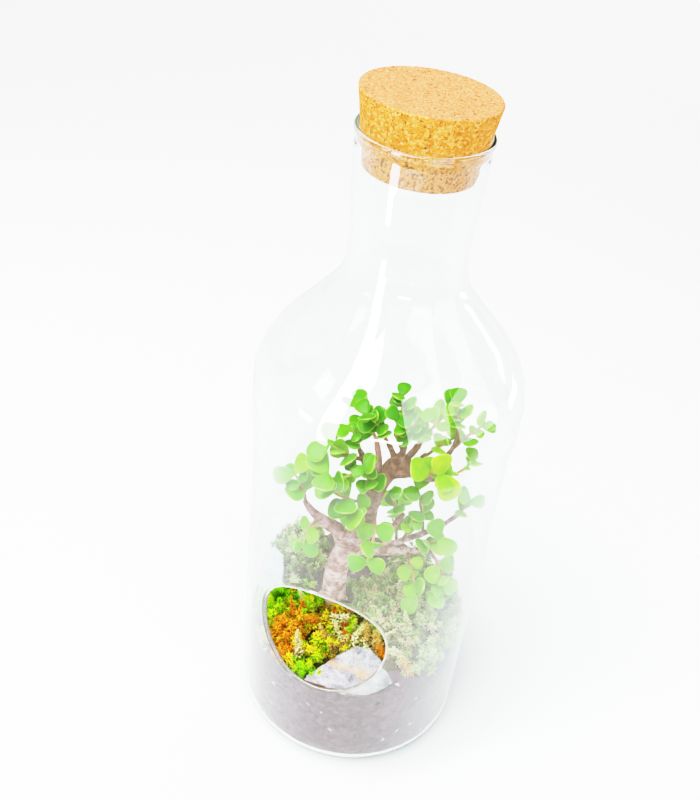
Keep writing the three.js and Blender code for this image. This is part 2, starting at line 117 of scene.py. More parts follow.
def mesh_object(name, corners, faces, looks):
    """A smooth-shaded object at the origin, from corners in millimetres and arrays of quads or triangles."""
    mesh = bpy.data.meshes.new(name)
    mesh.vertices.add(len(corners))
    mesh.vertices.foreach_set("co", (corners * MM).astype(np.float32).ravel())
    around = np.concatenate([f.ravel() for f in faces]).astype(np.int32)
    sides = np.concatenate([np.full(len(f), f.shape[1]) for f in faces])
    mesh.loops.add(len(around))
    mesh.loops.foreach_set("vertex_index", around)
    mesh.polygons.add(len(sides))
    mesh.polygons.foreach_set("loop_start", (np.cumsum(sides) - sides).astype(np.int32))
    mesh.update(calc_edges=True)
    mesh.validate()
    mesh.shade_smooth()
    for look in looks:
        mesh.materials.append(look)
    made = bpy.data.objects.new(name, mesh)
    bpy.context.scene.collection.objects.link(made)
    return made


# The table: matt white laminate, which spreads its light evenly. From 0.19 m out towards the photographer it
# is painted duller, a painted shade where the pool of light ends, so that the glass mirrors that part less
# strongly.
TABLE_HALF = 1900.0
TABLE_DROP = 0.15
TOWARDS_CAMERA = (0.284, -0.959, 0.0)
PAINTED_SHADE_FROM = 0.19
PAINTED_SHADE_TO = 0.28
FRONT_BLEND = 0.12
table_look, tree, out = material("matt white laminate, painted shade in front")
spot = add(tree, "TexCoord").outputs["Object"]
away = add(tree, "VectorMath", {0: spot}, operation="LENGTH")
ahead = add(tree, "VectorMath", {0: spot, 1: TOWARDS_CAMERA}, operation="DOT_PRODUCT")
past_pool = add(tree, "MapRange", {
    "Value": away.outputs["Value"], "From Min": PAINTED_SHADE_FROM, "From Max": PAINTED_SHADE_TO,
}, interpolation_type="SMOOTHSTEP")
in_front = add(tree, "MapRange", {
    "Value": ahead.outputs["Value"], "From Min": 0.0, "From Max": FRONT_BLEND,
}, interpolation_type="SMOOTHSTEP")
# Painted shade: past the pool of light, in front of the bottle, the laminate is painted duller.
painted_table_shade = add(tree, "Math", {0: past_pool.outputs[0], 1: in_front.outputs[0]}, operation="MULTIPLY")
laminate = add(tree, "Mix", {
    0: painted_table_shade.outputs[0], 6: linear("#fafafa"), 7: linear("#c8c8c8"),
}, data_type="RGBA")
matt_white = add(tree, "BsdfPrincipled", {"Base Color": laminate.outputs[2], "Roughness": 0.9})
tree.links.new(matt_white.outputs[0], out.inputs["Surface"])
table = mesh_object(
    "table",
    np.array([[-1, -1, 0], [1, -1, 0], [1, 1, 0], [-1, 1, 0]]) * TABLE_HALF - [0, 0, TABLE_DROP],
    [np.array([[0, 1, 2, 3]])],
    [table_look],
)

# The room: pale walls and a dim ceiling, by the height of a direction, which is the sine of its
# elevation. The picture's tone takes blue out of what is dim, so the ceiling is painted bluer.
HORIZON_BRIGHTNESS = 1.1
CEILING_BRIGHTNESS = 0.14
WALLS_END = 0.14
CEILING_STARTS = 0.32
CEILING_BLUE = 1.6
BLUE_FROM = 0.25
BLUE_TO = 0.3
world = bpy.data.worlds.new("pale walls, dim ceiling")
bpy.context.scene.world = world
world.use_nodes = True
tree = world.node_tree
tree.nodes.clear()
height = add(tree, "SeparateXYZ", {0: add(tree, "TexCoord").outputs["Generated"]})
fall = add(tree, "MapRange", {
    "Value": height.outputs["Z"], "From Min": WALLS_END, "From Max": CEILING_STARTS,
    "To Min": HORIZON_BRIGHTNESS, "To Max": CEILING_BRIGHTNESS,
}, interpolation_type="SMOOTHSTEP")
dim = add(tree, "MapRange", {"Value": height.outputs["Z"], "From Min": BLUE_FROM, "From Max": BLUE_TO})
paint = add(tree, "Mix", {
    0: dim.outputs[0], 6: (1, 1, 1, 1), 7: (1, 1, CEILING_BLUE, 1),
}, data_type="RGBA")
sky = add(tree, "Background", {"Color": paint.outputs[2], "Strength": fall.outputs[0]})
tree.links.new(sky.outputs[0], add(tree, "OutputWorld").inputs["Surface"])


def softbox(name, azimuth, elevation, distance, width, height, brightness, aim=(0, 0, 150), seen_in=()):
    """A rectangular studio light, turned to its aim: azimuth 0 is in front of the window and 90 at its
    right. Its power is pi times its area times its brightness. seen_in names what alone it lights."""
    a, e = math.radians(azimuth), math.radians(elevation)
    back = np.array([math.sin(a) * math.cos(e), -math.cos(a) * math.cos(e), math.sin(e)])
    side = np.array([math.cos(a), math.sin(a), 0.0])
    lamp = bpy.data.lights.new(name, "AREA")
    lamp.shape = "RECTANGLE"
    lamp.size = width * MM
    lamp.size_y = height * MM
    lamp.energy = math.pi * lamp.size * lamp.size_y * brightness
    made = bpy.data.objects.new(name, lamp)
    bpy.context.scene.collection.objects.link(made)
    place = np.eye(4)
    place[:3, :3] = np.stack([side, np.cross(back, side), back], axis=1)
    place[:3, 3] = (np.array(aim) + back * distance) * MM
    made.matrix_world = Matrix(place.tolist())
    made.visible_camera = False
    if seen_in:
        for kind in ("diffuse", "glossy", "transmission"):
            setattr(made, "visible_" + kind, kind in seen_in)
    return made


softbox("key_light", -30, 66, 1700, 1200, 1200, 22)
softbox("window_light", 53, 27, 1500, 900, 1000, 6)

# What the glass mirrors, each by its azimuth, elevation, distance, width, height, brightness and the
# height that it is aimed at. Only reflections see these.
MIRRORED = {
    "door_reflection": (-23, 0, 450, 115, 780, 32, 425),
    "sill_reflection": (20, 0, 235, 85, 9, 60, 250),
    "left_reflection": (-44, 1, 800, 190, 90, 18, 230),
    "left_window_reflection": (-46, 29, 900, 190, 170, 14, 255),
    "right_window_reflection": (141, 5, 900, 240, 75, 14, 250),
    "right_sill_reflection": (138, -8, 900, 270, 120, 12, 235),
    "right_wall_reflection": (95, 14, 900, 640, 620, 8, 225),
    "lap_reflection": (5, 0, 600, 700, 80, 3.5, 50),
}
for name, (*sizes, aim_height) in MIRRORED.items():
    softbox(name, *sizes, aim=(0, 0, aim_height), seen_in=("glossy",))
softbox("backdrop_wash", 180, 48, 1500, 2400, 1000, 6, aim=(-250, 1000, 0), seen_in=("diffuse",))

# Two black cards keep the glass in front of the crown clear, as the photographer and the end of the
# table do. Only reflections see them: a low bent one near the bottle, and a tall one by the camera.
# Flock is matt and gives back next to no light.
FLOCK_BLACK = 0.003
LOW_CARD_RADIUS = 262.0
LOW_CARD_HEIGHT = 190.0
TALL_CARD_HEIGHT = 420.0
black_look, tree, out = material("black flock card")
flock = add(tree, "BsdfDiffuse", {"Color": (FLOCK_BLACK, FLOCK_BLACK, FLOCK_BLACK, 1)})
tree.links.new(flock.outputs[0], out.inputs["Surface"])
bow = np.radians(np.linspace(-20, 85, 22))
low_card = LOW_CARD_RADIUS * np.stack([np.sin(bow), -np.cos(bow)], -1)
tall_card = np.array([[-220.0, -670], [360, -620]])
CARDS = {
    "low_flag_card": (low_card, LOW_CARD_HEIGHT),
    "tall_flag_card": (tall_card, TALL_CARD_HEIGHT),
}
for name, (foot, height) in CARDS.items():
    count = len(foot)
    rows = [np.hstack([foot, np.full((count, 1), z)]) for z in (0.0, height)]
    k = np.arange(count - 1)
    panes = np.stack([k, k + 1, k + 1 + count, k + count], -1)
    card = mesh_object(name, np.vstack(rows), [panes], [black_look])
    for kind in ("camera", "diffuse", "transmission", "shadow"):
        setattr(card, "visible_" + kind, False)

# The photograph's tone: dark and middle tones as they are, and everything brighter eased off. The blue
# curve is lower below 0.15, which deepens greens and oranges and makes a dim grey a little olive.
WHITE_LEVEL = 4.0
tone = bpy.context.scene.view_settings
tone.view_transform = "Standard"
tone.use_curve_mapping = True
tone.curve_mapping.white_level = (WHITE_LEVEL,) * 3
shoulder = tone.curve_mapping.curves[3]
for place, shown in ((0.125, 0.5), (0.2, 0.7), (0.3, 0.83), (0.45, 0.905), (0.6, 0.94), (0.74, 0.98)):
    shoulder.points.new(place, shown)
deep_blue = tone.curve_mapping.curves[2]
for place, shown in ((0.05, 0.032), (0.1, 0.086), (0.15, 0.15), (0.22, 0.22), (0.4, 0.4), (0.7, 0.7)):
    deep_blue.points.new(place, shown)
tone.curve_mapping.update()


# Glass bottle: mouth-blown soda-lime glass, clear with a green edge, in one piece from the pushed-up
# base to the rolled lip. The round window was cut and its edge melted smooth with a flame. The wall,
# base and window edge are a little thinner than the solid's, on the inside, as the real edge looks.
BODY_RADIUS = 60
GLASS_HEIGHT = 330
FLAT_RADIUS = 41
HEEL_HEIGHT = 15
BASE_GLASS = 2.0
WALL = 1.7
NECK_WALL = 1.6
LIP_RADIUS = 1
LIP_RING_RADIUS = 25.5
WINDOW_RADIUS = 34.3
WINDOW_HEIGHT = 100.2
WINDOW_BEAD = 0.8
BEAD_MEETS_WALL = math.radians(60)
BEAD_FLARE = 3.0
PUNT_RADIUS = 29
PUNT_HEIGHT = 2.4
FLOOR_RISE = 2.2
RING_RADII = (33, 37, FLAT_RADIUS)
SHOULDER_LOW = 210
SHOULDER_HIGH = 278
LIP_LOW = 325
THINS_FROM = 235
THINS_TO = 270
OUTLINE = np.array([
    (60, 15), (60, 60), (60, 120), (59, 165), (59.2, 190), (60, 212), (59, 224), (55.2, 233),
    (48.3, 242.5), (40.3, 251.5), (32.6, 260.5), (27, 268.5), (24.7, 277), (24.1, 286),
    (25, 300), (25.6, 314), (25.9, 325),
], float)
TURNS = 192
COLLAR = 48
COLLAR_HALF = 45.0
ROWS_UNDER_COLLAR = 12


def grid_faces(rows, columns, wrap):
    """Quads between the rows of a grid of corners. With wrap, the last column joins the first."""
    r = np.arange(rows - 1)[:, None]
    c = np.arange(columns if wrap else columns - 1)[None, :]
    n = (c + 1) % columns
    quads = np.stack([r * columns + c, r * columns + n, (r + 1) * columns + n, (r + 1) * columns + c], -1)
    return quads.reshape(-1, 4)


def turned(outline, turns, first=0.0):
    """An outline of (radius, height) turned about Z. It starts and ends on the axis, and runs outwards
    under the shape first. A corner is (r sin a, -r cos a, z). Gives corners, quads and end triangles."""
    rings = outline[1:-1]
    angle = first + 2 * np.pi * np.arange(turns) / turns
    r, z = rings[:, :1], rings[:, 1:]
    corners = np.stack([r * np.sin(angle), -r * np.cos(angle), z + 0 * angle], -1).reshape(-1, 3)
    ends = np.array([[0, 0, outline[0, 1]], [0, 0, outline[-1, 1]]])
    this = np.arange(turns)
    after = (this + 1) % turns
    low, high = len(corners), len(corners) + 1
    last = len(corners) - turns
    fans = np.vstack([
        np.stack([np.full(turns, low), after, this], -1),
        np.stack([last + this, last + after, np.full(turns, high)], -1),
    ])
    return np.vstack([corners, ends]), grid_faces(len(rings), turns, True), fans


def smooth_curve(x, xs, ys):
    """Cubic through points: between neighbours it keeps to the slopes of the lines beside each point."""
    slope = np.gradient(ys, xs)
    k = np.clip(np.searchsorted(xs, x, side="right") - 1, 0, len(xs) - 2)
    step = xs[k + 1] - xs[k]
    w = (x - xs[k]) / step
    return (
        ys[k] * (1 + 2 * w) * (1 - w) ** 2 + ys[k + 1] * w * w * (3 - 2 * w)
        + slope[k] * step * w * (1 - w) ** 2 + slope[k + 1] * step * w * w * (w - 1)
    )


collar_low = WINDOW_HEIGHT - COLLAR_HALF
collar_high = WINDOW_HEIGHT + COLLAR_HALF
wall_z = np.concatenate([
    np.linspace(HEEL_HEIGHT, collar_low, ROWS_UNDER_COLLAR + 1)[:-1],
    np.linspace(collar_low, collar_high, COLLAR + 1),
    np.linspace(collar_high, SHOULDER_LOW, 18)[1:],
    np.linspace(SHOULDER_LOW, SHOULDER_HIGH, 38)[1:],
    np.linspace(SHOULDER_HIGH, LIP_LOW, 14)[1:],
])
wall_outer = np.stack([smooth_curve(wall_z, OUTLINE[:, 1], OUTLINE[:, 0]), wall_z], -1)
run = np.gradient(wall_outer, axis=0)
away = np.stack([run[:, 1], -run[:, 0]], -1) / np.hypot(run[:, 0], run[:, 1])[:, None]
thickness = np.interp(wall_z, [THINS_FROM, THINS_TO], [WALL, NECK_WALL])
wall_inner = wall_outer - away * thickness[:, None]

quarter = np.linspace(0, np.pi / 2, 13)[1:-1]
heel_reach = BODY_RADIUS - FLAT_RADIUS
heel_outer = np.stack([
    FLAT_RADIUS + heel_reach * np.sin(quarter),
    HEEL_HEIGHT * (1 - np.cos(quarter)),
], -1)
heel_inner = np.stack([
    FLAT_RADIUS + (heel_reach - WALL) * np.sin(quarter),
    HEEL_HEIGHT - (HEEL_HEIGHT - BASE_GLASS) * np.cos(quarter),
], -1)
punt_r = np.linspace(0, PUNT_RADIUS, 10)
punt = np.stack([punt_r, PUNT_HEIGHT * np.cos(punt_r / PUNT_RADIUS * np.pi / 2) ** 2], -1)
ring_flat = np.array([[radius, 0.0] for radius in RING_RADII])
floor_r = np.linspace(FLAT_RADIUS, 0, 14)
floor_in = np.stack([
    floor_r,
    BASE_GLASS + FLOOR_RISE * np.cos(floor_r / FLAT_RADIUS * np.pi / 2) ** 2,
], -1)
lip_angle = np.radians(np.linspace(-50, 230, 15))
lip = np.stack([
    LIP_RING_RADIUS + LIP_RADIUS * np.cos(lip_angle),
    GLASS_HEIGHT - LIP_RADIUS + LIP_RADIUS * np.sin(lip_angle),
], -1)
outline = np.vstack([
    punt, ring_flat, heel_outer, wall_outer, lip, wall_inner[::-1], heel_inner[::-1], floor_in,
])
corners, quads, fans = turned(outline, TURNS, first=-2 * np.pi * (COLLAR / 2) / TURNS)

# The window's collar: loops of corners that shrink from a square patch of the wall to the round edge.
rows_below_wall = len(punt) + len(ring_flat) + len(heel_outer) - 1
outer_row = rows_below_wall + ROWS_UNDER_COLLAR
inner_row = rows_below_wall + 2 * len(wall_z) + len(lip) - 1 - ROWS_UNDER_COLLAR
row_of, column_of = np.divmod(quads[:, 0], TURNS)
in_columns = column_of < COLLAR
in_outer = (row_of >= outer_row) & (row_of < outer_row + COLLAR)
in_inner = (row_of < inner_row) & (row_of >= inner_row - COLLAR)
quads = quads[~(in_columns & (in_outer | in_inner))]

step = np.arange(COLLAR)
square_column = np.concatenate([step, np.full(COLLAR, COLLAR), COLLAR - step, np.zeros(COLLAR, int)])
square_row = np.concatenate([np.zeros(COLLAR, int), step, np.full(COLLAR, COLLAR), COLLAR - step])
outer_square = (outer_row + square_row) * TURNS + square_column
inner_square = (inner_row - square_row) * TURNS + square_column
square_turn = (square_column - COLLAR / 2) * 2 * np.pi / TURNS
square_z = wall_z[ROWS_UNDER_COLLAR + square_row]
bearing = np.arctan2(square_z - WINDOW_HEIGHT, square_turn * BODY_RADIUS)
middle = BODY_RADIUS - WALL / 2
edge_turn = WINDOW_RADIUS * np.cos(bearing) / middle
outwards = np.stack([np.sin(edge_turn), -np.cos(edge_turn), 0 * bearing], -1)
edge_z = WINDOW_HEIGHT + WINDOW_RADIUS * np.sin(bearing)
edge = middle * outwards + np.stack([0 * bearing, 0 * bearing, edge_z], -1)
along = np.stack([
    -np.sin(bearing) * np.cos(edge_turn), -np.sin(bearing) * np.sin(edge_turn), np.cos(bearing),
], -1)
from_hole = np.cross(along, outwards)


def bead_loop(angle):
    """The loop on the melted edge at an angle round its section: 90 degrees faces out of the bottle."""
    return edge + WINDOW_BEAD * (math.sin(angle) * outwards + math.cos(angle) * from_hole)


def collar_loop(share, wall_rz, angle, flare):
    """A loop on the wall, a share of the way from the square to the bead, where the flare eases the wall's
    thickness to meet the bead.
    """
    bead = bead_loop(angle)
    bead_turn = np.arctan2(bead[:, 0], -bead[:, 1])
    turn = square_turn + share * (bead_turn - square_turn)
    z = square_z + share * (bead[:, 2] - square_z)
    left = (1 - share) * np.hypot((bead_turn - square_turn) * BODY_RADIUS, bead[:, 2] - square_z)
    thicker = flare * np.clip(1 - left / BEAD_FLARE, 0, 1) ** 2
    radius = np.interp(z, wall_rz[:, 1], wall_rz[:, 0]) + thicker
    return np.stack([radius * np.sin(turn), -radius * np.cos(turn), z], -1)


shares = 1 - (1 - np.linspace(0, 1, 13)[1:]) ** 1.7
flare = WINDOW_BEAD * math.sin(BEAD_MEETS_WALL) - WALL / 2
loops = [collar_loop(s, wall_outer, BEAD_MEETS_WALL, flare) for s in shares]
bead_angles = np.linspace(BEAD_MEETS_WALL, 2 * np.pi - BEAD_MEETS_WALL, 13)[1:-1]
loops += [bead_loop(a) for a in bead_angles]
loops += [collar_loop(s, wall_inner, -BEAD_MEETS_WALL, -flare) for s in shares[::-1]]
ladder = np.vstack([
    outer_square,
    len(corners) + np.arange(len(loops) * 4 * COLLAR).reshape(len(loops), -1),
    inner_square,
])
corners = np.vstack([corners, *loops])
quads = np.vstack([quads, ladder.ravel()[grid_faces(len(ladder), 4 * COLLAR, True)]])

# Blown glass is never quite round: slow swells of a tenth of a millimetre, which fade out towards the
# base and the lip.
LONG_SWELL = 0.09
SHORT_SWELL = 0.05
SWELL_LOW = 10
SWELL_HIGH = 320
SWELL_FADE = 30
turn = np.arctan2(corners[:, 0], -corners[:, 1])
z = corners[:, 2]
swell = LONG_SWELL * np.sin(2 * turn + 1.3 + z / 23) + SHORT_SWELL * np.sin(5 * turn - z / 14)
swell *= np.clip((z - SWELL_LOW) / SWELL_FADE, 0, 1) * np.clip((SWELL_HIGH - z) / SWELL_FADE, 0, 1)
radius = np.maximum(np.hypot(corners[:, 0], corners[:, 1]), 1e-6)
corners[:, :2] *= (1 + swell / radius)[:, None]

# The glass is clear: it bends what is behind it and mirrors what is in front, and lamplight goes straight
# through. A long way through it is green. The window's melted edge is painted a little milky and pale, as
# painted light for the bright table seen through it, and a green tint painted on the lip's left part stands
# for light that runs round inside the glass.
GLASS_DENSITY = 36.0
MELTED_EDGE = 0.22
GREEN_LIP = 0.5
GREEN_LIP_TURN = math.radians(-88)
GREEN_LIP_HEIGHT = 4
glass_look, tree, out = material("soda-lime glass, blown and fire-polished")
clear = add(tree, "BsdfPrincipled", {
    "Base Color": (1, 1, 1, 1), "Roughness": 0.0, "IOR": 1.5, "Transmission Weight": 1.0,
})
passed = add(tree, "BsdfTransparent", {"Color": linear("#f6faf8")})
path = add(tree, "LightPath")
from_lamp = add(tree, "Math", {
    0: path.outputs["Is Shadow Ray"], 1: path.outputs["Is Diffuse Ray"],
}, operation="MAXIMUM")
pane = add(tree, "MixShader", {0: from_lamp.outputs[0], 1: clear.outputs[0], 2: passed.outputs[0]})
edge_share = add(tree, "Attribute", attribute_name="painted_edge_light")
lip_share = add(tree, "Attribute", attribute_name="green_lip")
edge_colour = add(tree, "Mix", {
    0: lip_share.outputs["Fac"], 6: linear("#f4f2e2"), 7: linear("#0f6a55"),
}, data_type="RGBA")
painted_edge_shader = add(tree, "BsdfPrincipled", {
    "Base Color": edge_colour.outputs[2], "Roughness": 0.35, "Specular IOR Level": 0.6,
})
edged = add(tree, "MixShader", {0: edge_share.outputs["Fac"], 1: pane.outputs[0], 2: painted_edge_shader.outputs[0]})
green_edge = add(tree, "VolumeAbsorption", {"Color": (0.3, 0.82, 0.68, 1), "Density": GLASS_DENSITY})
tree.links.new(edged.outputs[0], out.inputs["Surface"])
tree.links.new(green_edge.outputs[0], out.inputs["Volume"])


def set_attribute(made, name, values):
    """Stores one number, or one colour, for each corner of a mesh under a name that its material reads."""
    kind, field = ("FLOAT", "value") if values.ndim == 1 else ("FLOAT_COLOR", "color")
    layer = made.data.attributes.new(name, kind, "POINT")
    layer.data.foreach_set(field, values.astype(np.float32).ravel())


bottle = mesh_object("glass_bottle_blown", corners, [quads, fans], [glass_look])
first_bead = len(corners) - (len(shares) + len(bead_angles)) * 4 * COLLAR
# Painted light: the melted bead is painted pale, and the lip's left part green.
painted_edge_light = np.zeros(len(corners))
painted_edge_light[first_bead:first_bead + len(bead_angles) * 4 * COLLAR] = MELTED_EDGE
turn = np.arctan2(corners[:, 0], -corners[:, 1])
on_lip = np.clip((corners[:, 2] - GLASS_HEIGHT + GREEN_LIP_HEIGHT) / 2, 0, 1)
green_lip = np.clip(np.cos(turn - GREEN_LIP_TURN), 0, 1) ** 6 * on_lip
painted_edge_light = np.maximum(painted_edge_light, GREEN_LIP * green_lip)
set_attribute(bottle, "painted_edge_light", painted_edge_light)
set_attribute(bottle, "green_lip", green_lip)
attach(bottle, "root")
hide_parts("glass_bottle")


# Cork stopper: ground cork pressed and glued into a tapered plug, with grains of about 1 mm, dark bark
# flecks and small pits. It was turned and sanded, and sits a little askew in the neck.
CORK_TOP_RADIUS = 26.6
CORK_BOTTOM_RADIUS = 22
CORK_LENGTH = 28.5
CORK_ABOVE_LIP = 13.5
CORK_EDGE = 0.8
CORK_TILT = math.radians(2)
CORK_TILT_TOWARDS = math.radians(50)
CORK_GRAIN = 1.1
CORK_PIT = 0.4
FLECK_LEVEL = 0.38
MORE_FLECKS_IN_NECK = 0.07
FLECK_EDGE = 0.04
NECK_END_STARTS = 0.332
NECK_END_FULL = 0.322
GRAIN_RELIEF = 0.12
SEAM_DEPTH = 0.1
SEAM_HALF_WIDTH = 0.15


def draws(cells):
    """A repeatable draw from 0 to 1 for each row of three whole numbers: the fraction of a big sine."""
    wave = np.sin(cells @ np.array([12.9898, 78.233, 37.719])) * 43758.5453
    return wave - np.floor(wave)


def grain(points, size, seed):
    """Smooth noise from -1 to 1: a draw at each corner of a lattice of that size, blended between
    corners by w * w * (3 - 2 w)."""
    place = points / size + seed * 17.31
    cell = np.floor(place)
    w = place - cell
    w = w * w * (3 - 2 * w)
    total = np.zeros(len(points))
    for corner in np.ndindex(2, 2, 2):
        total += np.prod(np.where(corner, w, 1 - w), axis=1) * draws(cell + corner)
    return 2 * total - 1


def crumbs(points, size, seed):
    """Cell noise: every lattice cell holds one drawn point. Gives the distance to the nearest one, how
    much further the second is, both in sizes, and the nearest one's own draw."""
    place = points / size + seed * 9.17
    cell = np.floor(place)
    near = np.full(len(points), 9.0)
    second = near.copy()
    own = np.zeros(len(points))
    for step in np.ndindex(3, 3, 3):
        c = cell + step - 1
        centre = c + np.stack([draws(c), draws(c + 31.7), draws(c + 57.1)], -1)
        d = np.linalg.norm(place - centre, axis=1)
        second = np.minimum(second, np.maximum(near, d))
        own = np.where(d < near, draws(c + 5.3), own)
        near = np.minimum(near, d)
    return near, second - near, own


def lift(made, heights):
    """Moves each corner along its normal by a height in millimetres."""
    mesh = made.data
    place = np.zeros(len(mesh.vertices) * 3, np.float32)
    normal = place.copy()
    mesh.vertices.foreach_get("co", place)
    mesh.vertex_normals.foreach_get("vector", normal)
    place = place.reshape(-1, 3) + normal.reshape(-1, 3) * heights[:, None] * MM
    mesh.vertices.foreach_set("co", place.astype(np.float32).ravel())
    mesh.update()


cork_low = CORK_ABOVE_LIP - CORK_LENGTH
round_off = np.linspace(0, np.pi / 2, 5)
outline = np.vstack([
    np.stack([np.linspace(0, CORK_BOTTOM_RADIUS - CORK_EDGE, 34)[:-1], np.full(33, cork_low)], -1),
    np.stack([
        CORK_BOTTOM_RADIUS - CORK_EDGE * (1 - np.sin(round_off)),
        cork_low + CORK_EDGE * (1 - np.cos(round_off)),
    ], -1),
    np.stack([
        np.linspace(CORK_BOTTOM_RADIUS, CORK_TOP_RADIUS, 48)[1:-1],
        np.linspace(cork_low + CORK_EDGE, CORK_ABOVE_LIP - CORK_EDGE, 48)[1:-1],
    ], -1),
    np.stack([
        CORK_TOP_RADIUS - CORK_EDGE * (1 - np.cos(round_off)),
        CORK_ABOVE_LIP - CORK_EDGE * (1 - np.sin(round_off)),
    ], -1),
    np.stack([np.linspace(CORK_TOP_RADIUS - CORK_EDGE, 0, 42)[1:], np.full(41, CORK_ABOVE_LIP)], -1),
])
corners, quads, fans = turned(outline, 260)
tilt = Matrix.Rotation(CORK_TILT, 3, (-math.sin(CORK_TILT_TOWARDS), math.cos(CORK_TILT_TOWARDS), 0))
corners = corners @ np.array(tilt).T + [0, 0, GLASS_HEIGHT]

# Pressed cork looks dry and matt: grains in slightly different browns, dark seams of glue and nearly black
# flecks. The sanded top is dusty and even. The end in the neck has more flecks, and is painted paler as a
# painted reflection of the bright table in the glass over it.
cork_look, tree, out = material("agglomerated cork, sanded")
spot = add(tree, "TexCoord").outputs["Object"]
warp = add(tree, "TexNoise", {"Vector": spot, "Scale": 1 / (0.9 * MM), "Detail": 2.0})
bent_spot = add(tree, "Mix", {0: 0.0006, 4: spot, 5: warp.outputs["Color"]}, data_type="VECTOR")
grains = add(tree, "TexVoronoi", {"Vector": bent_spot.outputs[1], "Scale": 1 / (CORK_GRAIN * MM)})
seams = add(tree, "TexVoronoi", {
    "Vector": bent_spot.outputs[1], "Scale": 1 / (CORK_GRAIN * MM),
}, feature="DISTANCE_TO_EDGE")
own = add(tree, "SeparateColor", {0: grains.outputs["Color"]})
fine = add(tree, "TexNoise", {"Vector": spot, "Scale": 1 / (0.55 * MM), "Detail": 3.0, "Roughness": 0.6})
both = add(tree, "Math", {0: own.outputs[0], 1: 0.45, 2: fine.outputs[0]}, operation="MULTIPLY_ADD")
body = add(tree, "ValToRGB", {0: both.outputs[0]}, stops=[
    (0.36, linear("#a3580f")), (0.56, linear("#d97a26")),
    (0.75, linear("#e98f3a")), (0.95, linear("#f2aa66")),
])
facing = add(tree, "SeparateXYZ", {0: add(tree, "NewGeometry").outputs["Normal"]})
sanded_top = add(tree, "MapRange", {
    "Value": facing.outputs["Z"], "From Min": 0.3, "From Max": 0.7, "To Max": 0.6,
})
how_high = add(tree, "SeparateXYZ", {0: spot})
painted_haze_and_flecks_in_neck = add(tree, "MapRange", {
    "Value": how_high.outputs["Z"], "From Min": NECK_END_STARTS, "From Max": NECK_END_FULL,
    "To Max": 0.65,
})
dusty_top = add(tree, "Mix", {
    0: sanded_top.outputs[0], 6: body.outputs[0], 7: linear("#b46e60"),
}, data_type="RGBA")
# Painted reflection: the end in the neck is painted paler, for the bright table mirrored in the glass over
# it.
with_painted_neck_haze = add(tree, "Mix", {
    0: painted_haze_and_flecks_in_neck.outputs[0], 6: dusty_top.outputs[2], 7: linear("#ec9468"),
}, data_type="RGBA")
spots = add(tree, "TexNoise", {"Vector": spot, "Scale": 1 / (1.15 * MM), "Detail": 4.0, "Roughness": 0.7})
fleck_from = add(tree, "Math", {
    0: painted_haze_and_flecks_in_neck.outputs[0], 1: MORE_FLECKS_IN_NECK, 2: FLECK_LEVEL,
}, operation="MULTIPLY_ADD")
fleck_to = add(tree, "Math", {0: fleck_from.outputs[0], 1: FLECK_EDGE}, operation="ADD")
fleck = add(tree, "MapRange", {
    "Value": spots.outputs[0], "From Min": fleck_from.outputs[0], "From Max": fleck_to.outputs[0],
})
speckled = add(tree, "Mix", {
    0: fleck.outputs[0], 6: linear("#3f1a06"), 7: with_painted_neck_haze.outputs[2],
}, data_type="RGBA")
seam = add(tree, "MapRange", {
    "Value": seams.outputs["Distance"], "From Min": 0.0, "From Max": 0.12, "To Min": 0.55,
})
coloured = add(tree, "Mix", {
    0: seam.outputs[0], 6: linear("#8a4a1a"), 7: speckled.outputs[2],
}, data_type="RGBA")
relief = add(tree, "Math", {0: fine.outputs[0], 1: seam.outputs[0]}, operation="ADD")
bump = add(tree, "Bump", {"Height": relief.outputs[0], "Strength": 0.5, "Distance": 0.25 * MM})
pressed = add(tree, "BsdfPrincipled", {
    "Base Color": coloured.outputs[2], "Roughness": 0.9, "Normal": bump.outputs[0],
    "Specular IOR Level": 0.15,
})
tree.links.new(pressed.outputs[0], out.inputs["Surface"])

cork = mesh_object("cork_plug", corners, [quads, fans], [cork_look])
_, seam_width, own_draw = crumbs(corners, CORK_GRAIN, 3)
pits = np.clip(grain(corners, 1.6, 5) - 0.45, 0, 1) * CORK_PIT * 2
seam_cut = SEAM_DEPTH * np.exp(-(seam_width / SEAM_HALF_WIDTH) ** 2)
lift(cork, GRAIN_RELIEF * own_draw - GRAIN_RELIEF - seam_cut - pits)
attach(cork, "root")
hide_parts("cork_stopper")


# Potting soil: dark peaty compost in crumbs of about 2 mm, with a few bits of perlite. It was poured
# in and lies flat against the glass, with air gaps between the crumbs.
SOIL_LEVEL = 66
SOIL_RELIEF = 0.8
GLASS_GAP = 0.35
SOIL_CRUMB = 2.2
SOIL_LUMP = 2.6 * SOIL_CRUMB
CRUMB_HEIGHT = 0.9
LUMP_HEIGHT = 0.7
SIDE_SET_BACK = 0.75
side_z = np.linspace(HEEL_HEIGHT + 1, SOIL_LEVEL - SOIL_RELIEF, 60)
soil_wall = BODY_RADIUS - WALL - GLASS_GAP
outline = np.vstack([
    (floor_in[::-1] + [0, GLASS_GAP])[:-1],
    heel_inner[:-1] + [-GLASS_GAP, GLASS_GAP],
    np.stack([np.full(len(side_z), soil_wall), side_z], -1),
    np.stack([np.linspace(soil_wall - 0.4, 0, 72), np.full(72, SOIL_LEVEL)], -1),
])
corners, quads, fans = turned(outline, 400)
x, y, z = corners.T
relief = SOIL_RELIEF * (np.sin(0.13 * x + 0.6) * np.cos(0.11 * y) + 0.5 * np.sin(0.21 * (x - y)))
on_top = z > SOIL_LEVEL - 0.1
corners[on_top, 2] += relief[on_top]

